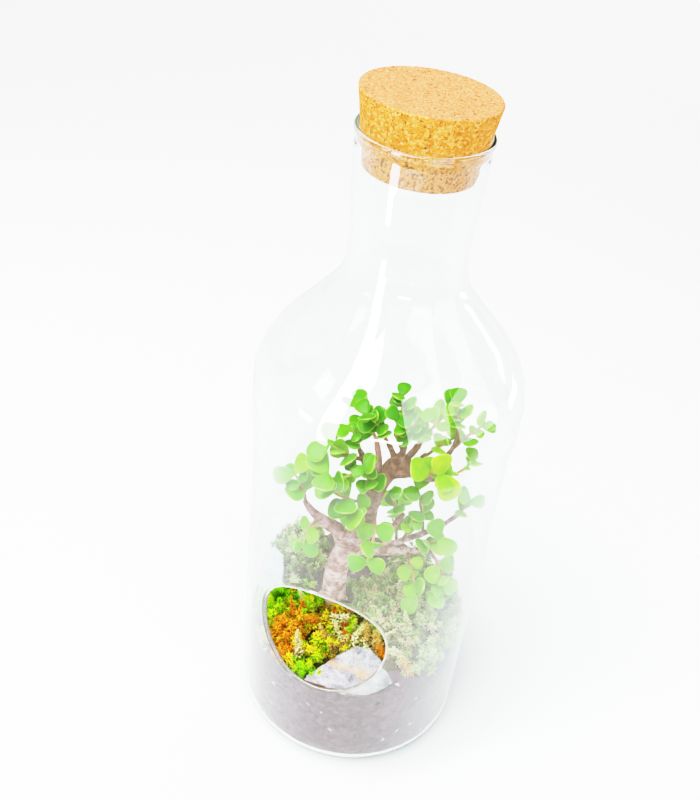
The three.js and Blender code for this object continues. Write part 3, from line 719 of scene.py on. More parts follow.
# Damp peat is dark, matt and reddish grey. About one crumb in a hundred is a bit of white perlite.
soil_look, tree, out = material("peaty potting compost with perlite")
mark = add(tree, "Attribute", attribute_name="crumb")
spot = add(tree, "TexCoord").outputs["Object"]
fine = add(tree, "TexNoise", {"Vector": spot, "Scale": 1 / (0.8 * MM), "Detail": 5.0, "Roughness": 0.65})
earth = add(tree, "ValToRGB", {0: mark.outputs["Fac"]}, stops=[
    (0.0, linear("#48303a")), (0.5, linear("#5b404b")),
    (0.985, linear("#6f515a")), (0.992, linear("#d8d0cc")),
])
dusty = add(tree, "Mix", {
    0: 0.6, 6: earth.outputs[0], 7: add(tree, "ValToRGB", {0: fine.outputs[0]}, stops=[
        (0.3, linear("#7c7674")), (0.65, linear("#ffffff")),
    ]).outputs[0],
}, data_type="RGBA", blend_type="MULTIPLY")
bump = add(tree, "Bump", {"Height": fine.outputs[0], "Strength": 0.8, "Distance": 0.5 * MM})
peat = add(tree, "BsdfPrincipled", {
    "Base Color": dusty.outputs[2], "Roughness": 0.95, "Normal": bump.outputs[0],
    "Specular IOR Level": 0.25,
})
tree.links.new(peat.outputs[0], out.inputs["Surface"])

soil = mesh_object("soil_crumbs", corners, [quads, fans], [soil_look])
near, _, own_draw = crumbs(corners, SOIL_CRUMB, 1)
_, _, lump_draw = crumbs(corners, SOIL_LUMP, 2)
lumps = CRUMB_HEIGHT * (1 - near) ** 0.5 * (0.4 + own_draw) + LUMP_HEIGHT * (lump_draw - 0.5)

# The side only goes inwards, so that no crumb passes into the glass.
lift(soil, np.where(on_top, lumps, np.minimum(0, lumps - SIDE_SET_BACK)))
set_attribute(soil, "crumb", own_draw)
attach(soil, "root")
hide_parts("soil")


# Stones: two broken bits of slaty rock, laid on the soil. The front one is grey with a rusty streak,
# and the pale one leans on the glass at the left. Their broken faces are rough and a little layered.
def merged_copy(node, voxel, smoothing):
    """A fine closed skin round a node's own solid: its copy merged, filled with voxels and smoothed."""
    copy = bpy.data.objects.new(node + "_copy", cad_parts[node].data.copy())
    bpy.context.scene.collection.objects.link(copy)
    copy.modifiers.new("weld", "WELD").merge_threshold = 0.01 * MM
    remesh = copy.modifiers.new("skin", "REMESH")
    remesh.mode = "VOXEL"
    remesh.voxel_size = voxel * MM
    smooth = copy.modifiers.new("smooth", "SMOOTH")
    smooth.iterations = smoothing
    smooth.factor = 0.5
    return finished(copy)


def finished(copy):
    """Applies an object's modifiers, and gives the corners in millimetres and the faces of the result."""
    shown = copy.evaluated_get(bpy.context.evaluated_depsgraph_get()).to_mesh()
    corners = np.zeros(len(shown.vertices) * 3, np.float32)
    shown.vertices.foreach_get("co", corners)
    shown.calc_loop_triangles()
    sides = np.zeros(len(shown.polygons), np.int32)
    shown.polygons.foreach_get("loop_total", sides)
    around = np.zeros(len(shown.loops), np.int32)
    shown.loops.foreach_get("vertex_index", around)
    start = np.cumsum(sides) - sides
    faces = [around[start[sides == n][:, None] + np.arange(n)] for n in (3, 4) if np.any(sides == n)]
    bpy.data.objects.remove(copy)
    return corners.reshape(-1, 3).astype(float) / MM, faces


def stone_material(name, dark, middle, pale, streak):
    """Rock in three tones, by noise of 6 mm and of 0.7 mm, with a streak where a noise of 9 mm, drawn out to
    26 mm along X, is high. Freshly broken rock is matt."""
    look, tree, out = material(name)
    spot = add(tree, "TexCoord").outputs["Object"]
    broad = add(tree, "TexNoise", {
        "Vector": spot, "Scale": 1 / (6 * MM), "Detail": 6.0, "Roughness": 0.7,
    })
    fine = add(tree, "TexNoise", {
        "Vector": spot, "Scale": 1 / (0.7 * MM), "Detail": 3.0, "Roughness": 0.6,
    })
    share = add(tree, "Math", {0: fine.outputs[0], 1: 0.45, 2: broad.outputs[0]}, operation="MULTIPLY_ADD")
    half = add(tree, "Math", {0: share.outputs[0], 1: 0.69}, operation="MULTIPLY")
    rock = add(tree, "ValToRGB", {0: half.outputs[0]}, stops=[(0.38, dark), (0.48, middle), (0.62, pale)])
    long = add(tree, "Mapping", {
        "Vector": spot, "Location": (0.0, 0.036, -0.073), "Scale": (0.35, 1.0, 1.4),
    })
    stain = add(tree, "TexNoise", {"Vector": long.outputs[0], "Scale": 1 / (9 * MM), "Detail": 3.0})
    rust = add(tree, "MapRange", {"Value": stain.outputs[0], "From Min": 0.5, "From Max": 0.68})
    coloured = add(tree, "Mix", {0: rust.outputs[0], 6: rock.outputs[0], 7: streak}, data_type="RGBA")
    bump = add(tree, "Bump", {"Height": half.outputs[0], "Strength": 0.9, "Distance": 0.6 * MM})
    rough = add(tree, "BsdfPrincipled", {
        "Base Color": coloured.outputs[2], "Roughness": 0.8, "Normal": bump.outputs[0],
    })
    tree.links.new(rough.outputs[0], out.inputs["Surface"])
    return look


# For each stone: its piece's name, its slot, how strongly it is layered, its rock and four colours.
STONES = {
    "stone_front": (
        "slaty_stone_front", "stone_grey", 0.28,
        "grey slate, broken", ("#55535a", "#8d8a90", "#bbb8be", "#bd8f60"),
    ),
    "stone_pale": (
        "slaty_stone_pale", "stone_pale", 0.2,
        "pale quartzite, broken", ("#9aa2ae", "#b9c0ca", "#d6dbe2", "#c3c8d0"),
    ),
}
# What lies in front of y = -46 mm and below z = 76 mm is drawn down and out a little.
EDGE_DOWN = 3.0
EDGE_OUT = 1.0
EDGE_FRONT = -46
EDGE_TOP = 76
FOOT_FRONT = -49
for seed, (node, (name, slot, layers, rock, colours)) in enumerate(STONES.items()):
    look = stone_material(rock, *[linear(code) for code in colours])
    corners, faces = merged_copy(node, 0.5, 3)
    outer = np.clip((EDGE_FRONT - corners[:, 1]) / 6, 0, 1) * np.clip((EDGE_TOP - corners[:, 2]) / 5, 0, 1)
    corners[:, 2] -= EDGE_DOWN * outer
    corners[:, 1] -= EDGE_OUT * outer
    stone = mesh_object(name, corners, faces, [look])
    flat = corners * [0.35, 0.35, 1.6] + [0, 0, 0.5] * corners[:, [1]]
    rough = (
        0.5 * grain(corners, 7.0, 11 + seed) + 0.3 * grain(corners, 2.8, 21 + seed)
        + layers * grain(flat, 2.2, 31 + seed) + 0.16 * grain(corners, 1.3, 41 + seed)
    )
    lift(stone, np.clip(rough + 0.05, -0.9, 0.5) + 0.5 * np.clip(FOOT_FRONT - corners[:, 1], 0, 1))
    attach(stone, "root")
    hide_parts(node)


# Moss cushions: living sheet moss, laid on the soil in three pieces. Each is a thatch of old brown stems,
# painted darker still as painted shade in the gaps, packed with small leafy shoots, with open rosettes and
# some pale dry shoots standing on it.
MOSS_COLOURS = {
    "green": "#74cc06", "lime": "#a6d80c", "yellow": "#e0b81a", "orange": "#ee7a12", "rust": "#b04a0c",
    "cream": "#eddf9a", "olive": "#93a850", "sage": "#b4c878", "straw": "#d9bd86", "brown": "#7a5530",
    "tan": "#e6a964",
}
palette = {name: np.array(linear(code)[:3]) for name, code in MOSS_COLOURS.items()}

# Moss is soft and matt: each shoot has its own colour, with painted shade that makes it dark at its foot and
# light at its tips.
moss_look, tree, out = material("sheet moss, living and dry shoots")
shade = add(tree, "Attribute", attribute_name="shade")
leafy = add(tree, "BsdfPrincipled", {
    "Base Color": shade.outputs["Color"], "Roughness": 0.6, "Specular IOR Level": 0.08,
})
tree.links.new(leafy.outputs[0], out.inputs["Surface"])


def sample_top(corners, faces, count, rng):
    """Draws places on the upper side of a mesh, evenly by area, and gives them with their normals."""
    tris = np.vstack([f[:, [0, 1, 2]] for f in faces] + [f[:, [0, 2, 3]] for f in faces if f.shape[1] == 4])
    a, b, c = (corners[tris[:, i]] for i in range(3))
    normal = np.cross(b - a, c - a)
    area = np.linalg.norm(normal, axis=1)
    normal /= np.maximum(area, 1e-9)[:, None]
    weight = area * np.clip(normal[:, 2] + 0.35, 0, 1)
    pick = rng.choice(len(tris), count, p=weight / weight.sum())
    u, v = rng.random((2, count, 1))
    u, v = np.where(u + v > 1, 1 - u, u), np.where(u + v > 1, 1 - v, v)
    return a[pick] + u * (b - a)[pick] + v * (c - a)[pick], normal[pick]


def unit(vectors):
    """Vectors made one long."""
    return vectors / np.maximum(np.linalg.norm(vectors, axis=-1, keepdims=True), 1e-9)


def spaced(points, gap):
    """Which of the points stay, taken in turn, if each has to be a gap away from those kept before."""
    kept = []
    for index, point in enumerate(points):
        if all(np.linalg.norm(points[kept] - point, axis=1) > gap):
            kept.append(index)
    return np.array(kept)


def shoots(feet, stems, leaflets, leaf_size, slender, taper, rng):
    """Leafy shoots. A stem runs from its foot along its own vector. Leaflet k stands at a golden-angle
    turn and at share (k + 0.5) / leaflets of the stem, leans up more towards the tip, and is smaller
    there by the taper. It is a keeled spike of five corners: foot, left, keel, right and tip."""
    count = len(feet)
    share = (0.08 + 0.92 * (np.arange(leaflets) + 0.5) / leaflets)[None, :, None]
    axis = unit(stems)[:, None, :]
    sway = unit(rng.normal(size=(count, 3)))[:, None, :]
    reach = np.linalg.norm(stems, axis=1)[:, None, None]
    foot = feet[:, None, :] + share * stems[:, None, :] + 0.16 * reach * share ** 2 * sway
    first = unit(np.cross(axis, rng.normal(size=(count, 1, 3))))
    turn = (2.39996 * np.arange(leaflets))[None, :, None] + 6.28 * rng.random((count, 1, 1))
    out_way = np.cos(turn) * first + np.sin(turn) * np.cross(axis, first)
    lean = -0.1 + 1.5 * share ** 2 + 0.45 * rng.normal(size=(count, leaflets, 1))
    along = unit(out_way + lean * axis)
    over = unit(axis - along * np.sum(axis * along, axis=2, keepdims=True) + 1e-6)
    side = np.cross(over, along)
    vary = 0.55 + 0.85 * rng.random((count, leaflets, 1))
    size = leaf_size[:, None, None] * (1 - taper * share) * vary
    middle = foot + 0.45 * size * along + 0.1 * size * over
    tip = foot + size * along - 0.14 * size * over
    half = slender * size
    keel = middle - 0.5 * half * over
    spikes = np.stack([foot, middle - half * side, keel, middle + half * side, tip], axis=2)
    start = 5 * np.arange(count * leaflets)[:, None]
    triples = ([1, 2, 4], [2, 3, 4], [3, 1, 4], [2, 1, 0], [3, 2, 0], [1, 3, 0])
    faces = np.concatenate([start + triple for triple in triples])
    # Painted shade: each leaflet is darkest at its foot and keel and lightest at its tip, and leaflets low
    # on a stem are darker.
    painted_shade_by_corner = np.array([0.25, 0.9, 0.55, 0.9, 1.35])[None, None, :]
    tone = painted_shade_by_corner * (0.45 + 0.7 * share) * (0.7 + 0.6 * rng.random((count, leaflets, 1)))
    return spikes.reshape(-1, 3), faces, tone[..., None]


def zone_colour(feet, zones, rng):
    """A colour for each shoot: each zone is a colour, a centre, a spread in mm and a strength, and the
    draw is among the zones by how strong they are there."""
    strength = np.stack([
        power * np.exp(-np.sum((feet[:, :2] - place) ** 2, axis=1) / (2 * spread ** 2))
        for _, place, spread, power in zones
    ], -1) + 1e-6
    bounds = np.cumsum(strength / strength.sum(1, keepdims=True), axis=1)
    pick = (rng.random((len(feet), 1)) > bounds).sum(1).clip(0, len(zones) - 1)
    colours = np.array([palette[zone[0]] for zone in zones])[pick]
    return colours * (0.8 + 0.4 * rng.random((len(feet), 1)))


# For each cushion: how much of the brown its thatch keeps, the rest of it darkened as painted shade, how
# light its rosettes are, how many shoots fill it and how long their leaflets are, how far apart the rosettes
# stand and how long theirs are, its zones of colour as zone_colour takes them, and its single shoots by
# colour, foot, tip and leaflet length.
EVERYWHERE = 400.0
MOSS = {
    "moss_front": {
        "name": "moss_cushion_front", "slot": "moss_vivid", "thatch_and_painted_shade": 0.05, "lit": 1.4,
        "filler": (800, 2.4), "rosettes": (3.2, 3.7), "zones": [
            ("green", (-39, -24), 10, 3.0), ("lime", (-33, -38), 9, 2.0), ("green", (-28, -17), 8, 1.4),
            ("green", (-5, -57), 6, 3.5), ("lime", (-9, -51), 6, 2.5), ("lime", (-27, -22), 8, 1.2),
            ("orange", (-21, -33), 7, 4.2), ("orange", (-21, -50), 6, 4.0), ("rust", (-1, -23), 5, 2.2),
            ("yellow", (-8, -44), 7, 2.4), ("yellow", (-9, -30), 7, 2.0), ("orange", (6, -18), 7, 1.6),
            ("rust", (-14, -40), 5, 1.0), ("lime", (2, -28), 6, 1.6), ("tan", (14, -26), 8, 4.0),
            ("cream", (10, -30), 8, 1.2), ("lime", (-3, -48), 6, 3.0),
            ("yellow", (0, 0), EVERYWHERE, 0.25), ("brown", (0, 0), EVERYWHERE, 0.15),
            ("cream", (0, 0), EVERYWHERE, 0.1),
        ],
        "dry": [
            ("cream", (-11, -52.5, 75), (-17.3, -45.2, 87), 3.6),
            ("cream", (4.5, -33.5, 76), (-3.1, -31.3, 84), 3.0),
            ("lime", (4.6, -30.5, 76), (6, -22.3, 84), 3.4), ("tan", (15, -26, 73), (12.8, -22.2, 83), 3.4),
            ("cream", (9, -29, 75), (13, -24, 83), 3.0),
            ("lime", (-17.9, -22.1, 79), (-23.3, -21.8, 85), 3.4),
            ("orange", (-12.2, -31.6, 80), (-16.9, -35.5, 85), 3.2),
            ("tan", (-4, -38, 78), (-9, -34, 85), 3.0),
            ("cream", (-22, -21, 78), (-27, -20, 86), 2.8), ("orange", (-24, -31, 79), (-29, -28, 86), 3.2),
            ("straw", (18, -25, 72), (20, -20, 81), 3.6), ("green", (-42, -30, 71), (-44, -29, 84), 4.4),
            ("green", (-45, -27.5, 73), (-46.5, -26, 83), 4.0),
            ("lime", (-39, -29, 73), (-40, -28, 84), 4.2),
            ("green", (-37, -33, 73), (-39, -33, 83), 4.0),
            ("green", (-43, -20, 76), (-41, -25.4, 85.5), 4.4),
            ("green", (-38, -17, 78), (-38.4, -22.6, 85.5), 4.2),
            ("green", (-12, -54, 67), (-11, -56, 73), 3.4),
            ("green", (-8, -55, 67), (-7, -56.6, 72), 3.2),
        ],
    },
    "moss_right": {
        "name": "moss_cushion_right", "slot": "moss_olive", "thatch_and_painted_shade": 0.25, "lit": 1.15,
        "filler": (900, 2.6), "rosettes": (3.4, 3.8), "zones": [
            ("olive", (30, 5), EVERYWHERE, 0.7), ("sage", (30, 5), EVERYWHERE, 1.2),
            ("tan", (24, -28), 7, 2.5), ("straw", (16, -16), 8, 1.4), ("green", (36, 20), 12, 0.5),
            ("cream", (30, 5), EVERYWHERE, 0.15),
        ],
        "dry": [
            ("tan", (24, -28, 72), (19, -25, 81), 4.2), ("orange", (27, -30, 71), (22, -28, 78), 3.6),
            ("tan", (41, -30, 69), (35, -28.9, 77), 4.4), ("cream", (36.2, -28.3, 71), (30, -26, 80), 4.2),
            ("cream", (20, -16, 78), (15, -13, 85), 3.6), ("cream", (33, -12, 78), (28, -9, 86), 3.6),
            ("sage", (40, 2, 78), (37, 6, 86), 3.6), ("cream", (24, 2, 79), (20, 6, 87), 3.6),
            ("straw", (8, 2, 74), (6, 6, 83), 3.6), ("cream", (6, 16, 75), (9, 20, 84), 3.6),
        ],
    },
    "moss_left": {
        "name": "moss_cushion_left", "slot": "moss_olive", "thatch_and_painted_shade": 0.15, "lit": 1.15,
        "filler": (420, 2.4), "rosettes": (3.2, 3.4), "zones": [
            ("olive", (-45, 15), EVERYWHERE, 1.0), ("sage", (-45, 15), EVERYWHERE, 0.8),
            ("brown", (-40, 2), 8, 1.2), ("straw", (-45, 15), EVERYWHERE, 0.3), ("green", (-48, 24), 9, 0.5),
        ],
        "dry": [("sage", (-44, 6, 88), (-47, 8, 94), 2.2), ("cream", (-38, 14, 86), (-41, 17, 92), 2.2)],
    },
}
MOSS_GLASS_GAP = 0.45
THATCH_VOXEL = 1.1
THATCH_SUNK = 1.5
THATCH_ABOVE_SOIL = 1.6
PATCH_SIZE = 6.0
FILLER_ABOVE = -0.38
ROSETTES_ABOVE = -0.3
for seed, (node, moss) in enumerate(MOSS.items()):
    rng = np.random.default_rng(100 + seed)
    ground, ground_faces = merged_copy(node, THATCH_VOXEL, 4)
    least = np.minimum(ground[:, 2], SOIL_LEVEL + THATCH_ABOVE_SOIL)
    ground[:, 2] = np.maximum(ground[:, 2] - THATCH_SUNK, least)
    corner_parts = [ground]
    face_parts = []
    # Painted shade: the thatch is brown darkened by this share, for the shade in the gaps between shoots.
    shade_parts = [np.tile(palette["brown"] * moss["thatch_and_painted_shade"], (len(ground), 1))]
    total = len(ground)

    count, leaf = moss["filler"]
    feet, normal = sample_top(ground, ground_faces, count, rng)
    heading = unit(normal + [0, 0, 0.5] + 0.5 * rng.normal(size=(count, 3)))
    size = 0.75 + 0.5 * rng.random(count)
    thick = grain(feet, PATCH_SIZE, 61 + seed) > FILLER_ABOVE
    feet, heading, size = feet[thick], heading[thick], size[thick]

    # A group of shoots is their feet, stems, number of leaflets, the leaflets' length, slenderness and
    # taper, how light they are, and their tint if it isn't drawn from the zones.
    groups = [(feet - 0.8 * heading, 4.2 * size[:, None] * heading, 20, leaf * size, 0.17, 0.45, 0.55, None)]

    gap, leaf = moss["rosettes"]
    feet, normal = sample_top(ground, ground_faces, 2200, rng)
    kept = spaced(feet, gap)
    kept = kept[grain(feet[kept], PATCH_SIZE, 61 + seed) > ROSETTES_ABOVE]
    feet, normal = feet[kept], normal[kept]
    heading = unit(normal + [0.05, -0.15, 0.6] + 0.3 * rng.normal(size=feet.shape))
    size = 0.7 + 0.65 * rng.random(len(feet))
    groups.append((feet, 5.2 * size[:, None] * heading, 38, leaf * size, 0.18, 0.5, moss["lit"], None))

    for colour_name, foot, tip, leaf in moss["dry"]:
        stem = np.array([tip], float) - foot
        tint = palette[colour_name][None, :]
        groups.append((np.array([foot], float), stem, 130, np.array([leaf]), 0.3, 0.7, 1.2, tint))

    for feet, stems, leaflets, leaf_size, slender, taper, light_share, tint in groups:
        spikes, faces, tone = shoots(feet, stems, leaflets, leaf_size, slender, taper, rng)
        colour = zone_colour(feet, moss["zones"], rng) if tint is None else tint
        corner_parts.append(spikes)
        face_parts.append(faces + total)
        shade_parts.append((light_share * tone * colour[:, None, None, :]).reshape(-1, 3))
        total += len(spikes)
    corners = np.vstack(corner_parts)
    inside = BODY_RADIUS - WALL - MOSS_GLASS_GAP
    corners[:, :2] *= np.minimum(1, inside / np.maximum(np.hypot(corners[:, 0], corners[:, 1]), 1))[:, None]
    cushion = mesh_object(moss["name"], corners, [*ground_faces, np.vstack(face_parts)], [moss_look])
    shades = np.clip(np.vstack(shade_parts), 0, 0.95)
    set_attribute(cushion, "shade", np.hstack([shades, np.ones((total, 1))]))
    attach(cushion, "root")
    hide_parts(node)


# Loose tufts: bits of the same moss, pushed in by hand between the trunk and the right cushion. Each
# has a colour, a foot and a tip, and is two shoots a little apart.
TUFTS = [
    ("sage", (3, -6, 67), (4, -5, 78)), ("sage", (8, -11, 67), (8, -9, 79)),
    ("cream", (1, -13, 67), (0, -11, 76)), ("straw", (12, -15, 69), (10, -13, 79)),
    ("sage", (5, 2, 67), (4, 4, 79)), ("cream", (10, -4, 69), (8, -2, 80)),
    ("sage", (-1, -9, 67), (-1, -7, 75)), ("straw", (5, -17, 67), (4, -15, 76)),
    ("sage", (-3, 6, 67), (-4, 4, 77)), ("olive", (-6, 10, 67), (-7, 8, 76)),
    ("sage", (0, 2, 67), (0, 0, 79)), ("straw", (1, 9, 67), (1, 7, 79)),
    ("olive", (-9, 15, 67), (-10, 13, 76)), ("sage", (-2, 14, 67), (-3, 12, 78)),
    ("olive", (6, 9, 67), (6, 7, 80)), ("sage", (-12, 10, 67), (-13, 8, 75)),
    ("sage", (4, 15, 68), (4, 13, 79)), ("olive", (9, 4, 69), (8, 5, 81)),
]
TUFT_SPREAD = 1.3
rng = np.random.default_rng(120)
feet = np.repeat([foot for _, foot, _ in TUFTS], 2, axis=0).astype(float)
stems = np.repeat([np.subtract(tip, foot) for _, foot, tip in TUFTS], 2, axis=0).astype(float)
tints = np.repeat([palette[name] for name, _, _ in TUFTS], 2, axis=0)
feet[:, :2] += TUFT_SPREAD * rng.normal(size=(len(feet), 2))
stems *= 0.7 + 0.4 * rng.random((len(stems), 1))
corners, faces, tone = shoots(feet, stems, 70, 2.6 + 1.2 * rng.random(len(feet)), 0.22, 0.6, rng)
colour = (0.9 * tone * tints[:, None, None, :]).reshape(-1, 3)
tufts = mesh_object("moss_tufts_by_trunk", corners, [faces], [moss_look])
set_attribute(tufts, "shade", np.hstack([np.clip(colour, 0, 0.95), np.ones((len(colour), 1))]))
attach(tufts, "root")


# Bonsai wood: the trunk and branches of an old dwarf jade, grown as one. The bark is thin, pinkish
# brown and wrinkled across, swollen where branches leave, and darker and redder on young wood.
WOOD = [
    ([(-13, -4, 60), (-13, -4, 66), (-13, -6, 77), (-13, -7, 92), (-11, -6, 106), (-7, -4, 118),
      (-2, -2, 127), (-1, 0, 142), (2, 2, 157), (8, 5, 168)],
     [7.4, 7.4, 6.3, 5.9, 5.7, 6.3, 5.2, 4.4, 4.6, 4.2]),
    ([(-9, -5, 114), (-14, -7, 125), (-20, -10, 131), (-25, -13, 137), (-30, -15, 145)],
     [4.4, 3.8, 3, 2.3, 1.4]),
    ([(6, 4, 165), (17, 7, 167), (23, 9, 163), (30, 10, 165)], [4, 3.2, 2.2, 1.5]),
    ([(-7, -3, 112), (5, 8, 106), (17, 14, 106), (29, 17, 110)], [3.2, 2.3, 1.9, 1.5]),
    ([(5, 8, 107), (15, 14, 113), (25, 18, 120), (33, 19, 128), (41, 20, 140)], [1.9, 1.7, 1.5, 1.3, 1]),
    ([(7, 7, 107), (10, 8, 123), (14, 8, 137)], [1.8, 1.8, 1.6]),
    ([(1, 0, 152), (-4, -3, 166), (-8, -6, 178)], [2.4, 1.7, 1.3]),
    ([(8, 5, 167), (10, 6, 180), (9, 6, 188)], [2.2, 1.5, 1.2]),
    ([(8, 5, 168), (4, 1, 181)], [1.9, 1.2]),
    ([(16, 7, 167), (20, 12, 174)], [1.9, 1.2]),
    ([(23, 9, 163), (29, 14, 172), (32, 16, 185)], [1.8, 1.3, 1]),
    ([(1, 1, 150), (-4, 14, 158), (-10, 24, 164)], [2.4, 1.8, 1.2]),
    ([(6, 4, 163), (11, 18, 166), (13, 29, 171)], [2.4, 1.8, 1.2]),
]


def through(points, t):
    """Places at t from 0 to 1 along the centripetal Catmull-Rom curve through points: each span is the
    cubic whose end slopes come from the neighbours, spaced by the square roots of the spans."""
    points = np.array(points, float)
    last = len(points) - 1
    place = np.clip(np.atleast_1d(t), 0, 1) * last
    k = np.minimum(np.floor(place).astype(int), last - 1)
    w = (place - k)[:, None]
    longer = np.vstack([2 * points[0] - points[1], points, 2 * points[-1] - points[-2]])
    p0, p1, p2, p3 = (longer[k + i] for i in range(4))
    spans = ((p0, p1), (p1, p2), (p2, p3))
    d0, d1, d2 = (np.sum((b - a) ** 2, axis=1)[:, None] ** 0.25 for a, b in spans)
    t1 = ((p1 - p0) / d0 - (p2 - p0) / (d0 + d1) + (p2 - p1) / d1) * d1
    t2 = ((p2 - p1) / d1 - (p3 - p1) / (d1 + d2) + (p3 - p2) / d2) * d1
    return p1 + t1 * w + (-3 * p1 + 3 * p2 - 2 * t1 - t2) * w ** 2 + (2 * p1 - 2 * p2 + t1 + t2) * w ** 3


def tube(centre, radius, sides):
    """A closed round tube along places, with a radius for each place, or for each place and side. Its
    section turns with the path and never spins. Gives corners, quads and end triangles."""
    rows = len(centre)
    ahead = unit(np.gradient(centre, axis=0))
    across = np.zeros_like(ahead)
    start = np.cross(ahead[0], [0.3, 1, 0.2])
    for row in range(rows):
        start = start - ahead[row] * (start @ ahead[row])
        start = start / np.linalg.norm(start)
        across[row] = start
    other = np.cross(ahead, across)
    angle = 2 * np.pi * np.arange(sides) / sides
    radius = np.broadcast_to(np.reshape(radius, (rows, -1)), (rows, sides))[..., None]
    ring = np.cos(angle)[None, :, None] * across[:, None] + np.sin(angle)[None, :, None] * other[:, None]
    corners = (centre[:, None] + radius * ring).reshape(-1, 3)
    this = np.arange(sides)
    after = (this + 1) % sides
    low = len(corners)
    last = low - sides
    fans = np.vstack([
        np.stack([np.full(sides, low), after, this], -1),
        np.stack([last + this, last + after, np.full(sides, low + 1)], -1),
    ])
    return np.vstack([corners, centre[:1], centre[-1:]]), grid_faces(rows, sides, True), fans


# Thin bark is dull, with wrinkles about 2 mm apart that catch the light, and ruddy patches of 7 mm.
bark_look, tree, out = material("dwarf jade bark, thin and wrinkled")
spot = add(tree, "TexCoord").outputs["Object"]
rings = add(tree, "Mapping", {"Vector": spot, "Scale": (0.8, 0.8, 1.3)})
wrinkle = add(tree, "TexNoise", {
    "Vector": rings.outputs[0], "Scale": 1 / (2.2 * MM), "Detail": 5.0, "Roughness": 0.65,
})
patch = add(tree, "TexNoise", {"Vector": spot, "Scale": 1 / (7 * MM), "Detail": 3.0})
bark_tone = add(tree, "ValToRGB", {0: wrinkle.outputs[0]}, stops=[
    (0.32, linear("#7a5650")), (0.44, linear("#c09a92")),
    (0.56, linear("#e4c6bc")), (0.7, linear("#f2dfd6")),
])
ruddy = add(tree, "ValToRGB", {0: patch.outputs[0]}, stops=[
    (0.38, linear("#a27a7c")), (0.5, linear("#f0d8d0")), (0.62, linear("#ffffff")),
])
patched = add(tree, "Mix", {
    0: 0.8, 6: bark_tone.outputs[0], 7: ruddy.outputs[0],
}, data_type="RGBA", blend_type="MULTIPLY")
how_high = add(tree, "SeparateXYZ", {0: spot})
young = add(tree, "MapRange", {
    "Value": how_high.outputs["Z"], "From Min": 0.09, "From Max": 0.15, "To Max": 0.9,
}, interpolation_type="SMOOTHSTEP")
bark_mix = add(tree, "Mix", {
    0: young.outputs[0], 6: patched.outputs[2], 7: linear("#a07884"),
}, data_type="RGBA", blend_type="MULTIPLY")
bump = add(tree, "Bump", {"Height": wrinkle.outputs[0], "Strength": 0.8, "Distance": 0.4 * MM})
skin = add(tree, "BsdfPrincipled", {
    "Base Color": bark_mix.outputs[2], "Roughness": 0.75, "Normal": bump.outputs[0],
    "Specular IOR Level": 0.35,
})
tree.links.new(skin.outputs[0], out.inputs["Surface"])

# Each limb is a tube with ripples, lobes and a flare at its foot. The tubes are then grown together.
WOOD_VOXEL = 0.42
parts = []
count = 0
for index, (points, radii) in enumerate(WOOD):
    length = np.linalg.norm(np.diff(through(points, np.linspace(0, 1, 60)), axis=0), axis=1).sum()
    t = np.linspace(0, 1, int(length / 0.5) + 2)
    centre = through(points, t)
    plain = np.interp(t, np.linspace(0, 1, len(radii)), radii)
    sides = 40 if index == 0 else 20
    angle = 2 * np.pi * np.arange(sides) / sides
    inch = (t * length)[:, None]
    ripple = (
        0.022 * np.sin(inch / 0.75 + 1.2 * np.sin(inch / 6 + index)) * (1 + np.sin(inch / 9 + 2 * index))
    )
    lobes = 0.05 * np.sin(3 * angle + inch / 14 + index) + 0.035 * np.sin(5 * angle - inch / 9)
    flare = 0.16 * np.exp(-inch / 5) if index else 0.35 * np.exp(-inch / 9) * (1 + 0.3 * np.sin(5 * angle))
    radius = plain[:, None] * (1 + ripple + lobes + flare)
    parts.append((*tube(centre, radius, sides), count))
    count += len(parts[-1][0])
joined = mesh_object(
    "limbs",
    np.vstack([p[0] for p in parts]),
    [np.vstack([p[1] + p[3] for p in parts]), np.vstack([p[2] + p[3] for p in parts])],
    [],
)
remesh = joined.modifiers.new("grown together", "REMESH")
remesh.mode = "VOXEL"
remesh.voxel_size = WOOD_VOXEL * MM
smooth = joined.modifiers.new("healed", "SMOOTH")
smooth.iterations = 2
smooth.factor = 0.5
corners, faces = finished(joined)
wood = mesh_object("bonsai_wood", corners, faces, [bark_look])
lift(wood, (
    0.3 * grain(corners, 4.5, 51) + 0.14 * grain(corners * [1, 1, 1.8], 1.8, 52)
    + 0.07 * grain(corners * [1, 1, 2.2], 0.9, 53)
))
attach(wood, "root")
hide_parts("plant_wood")
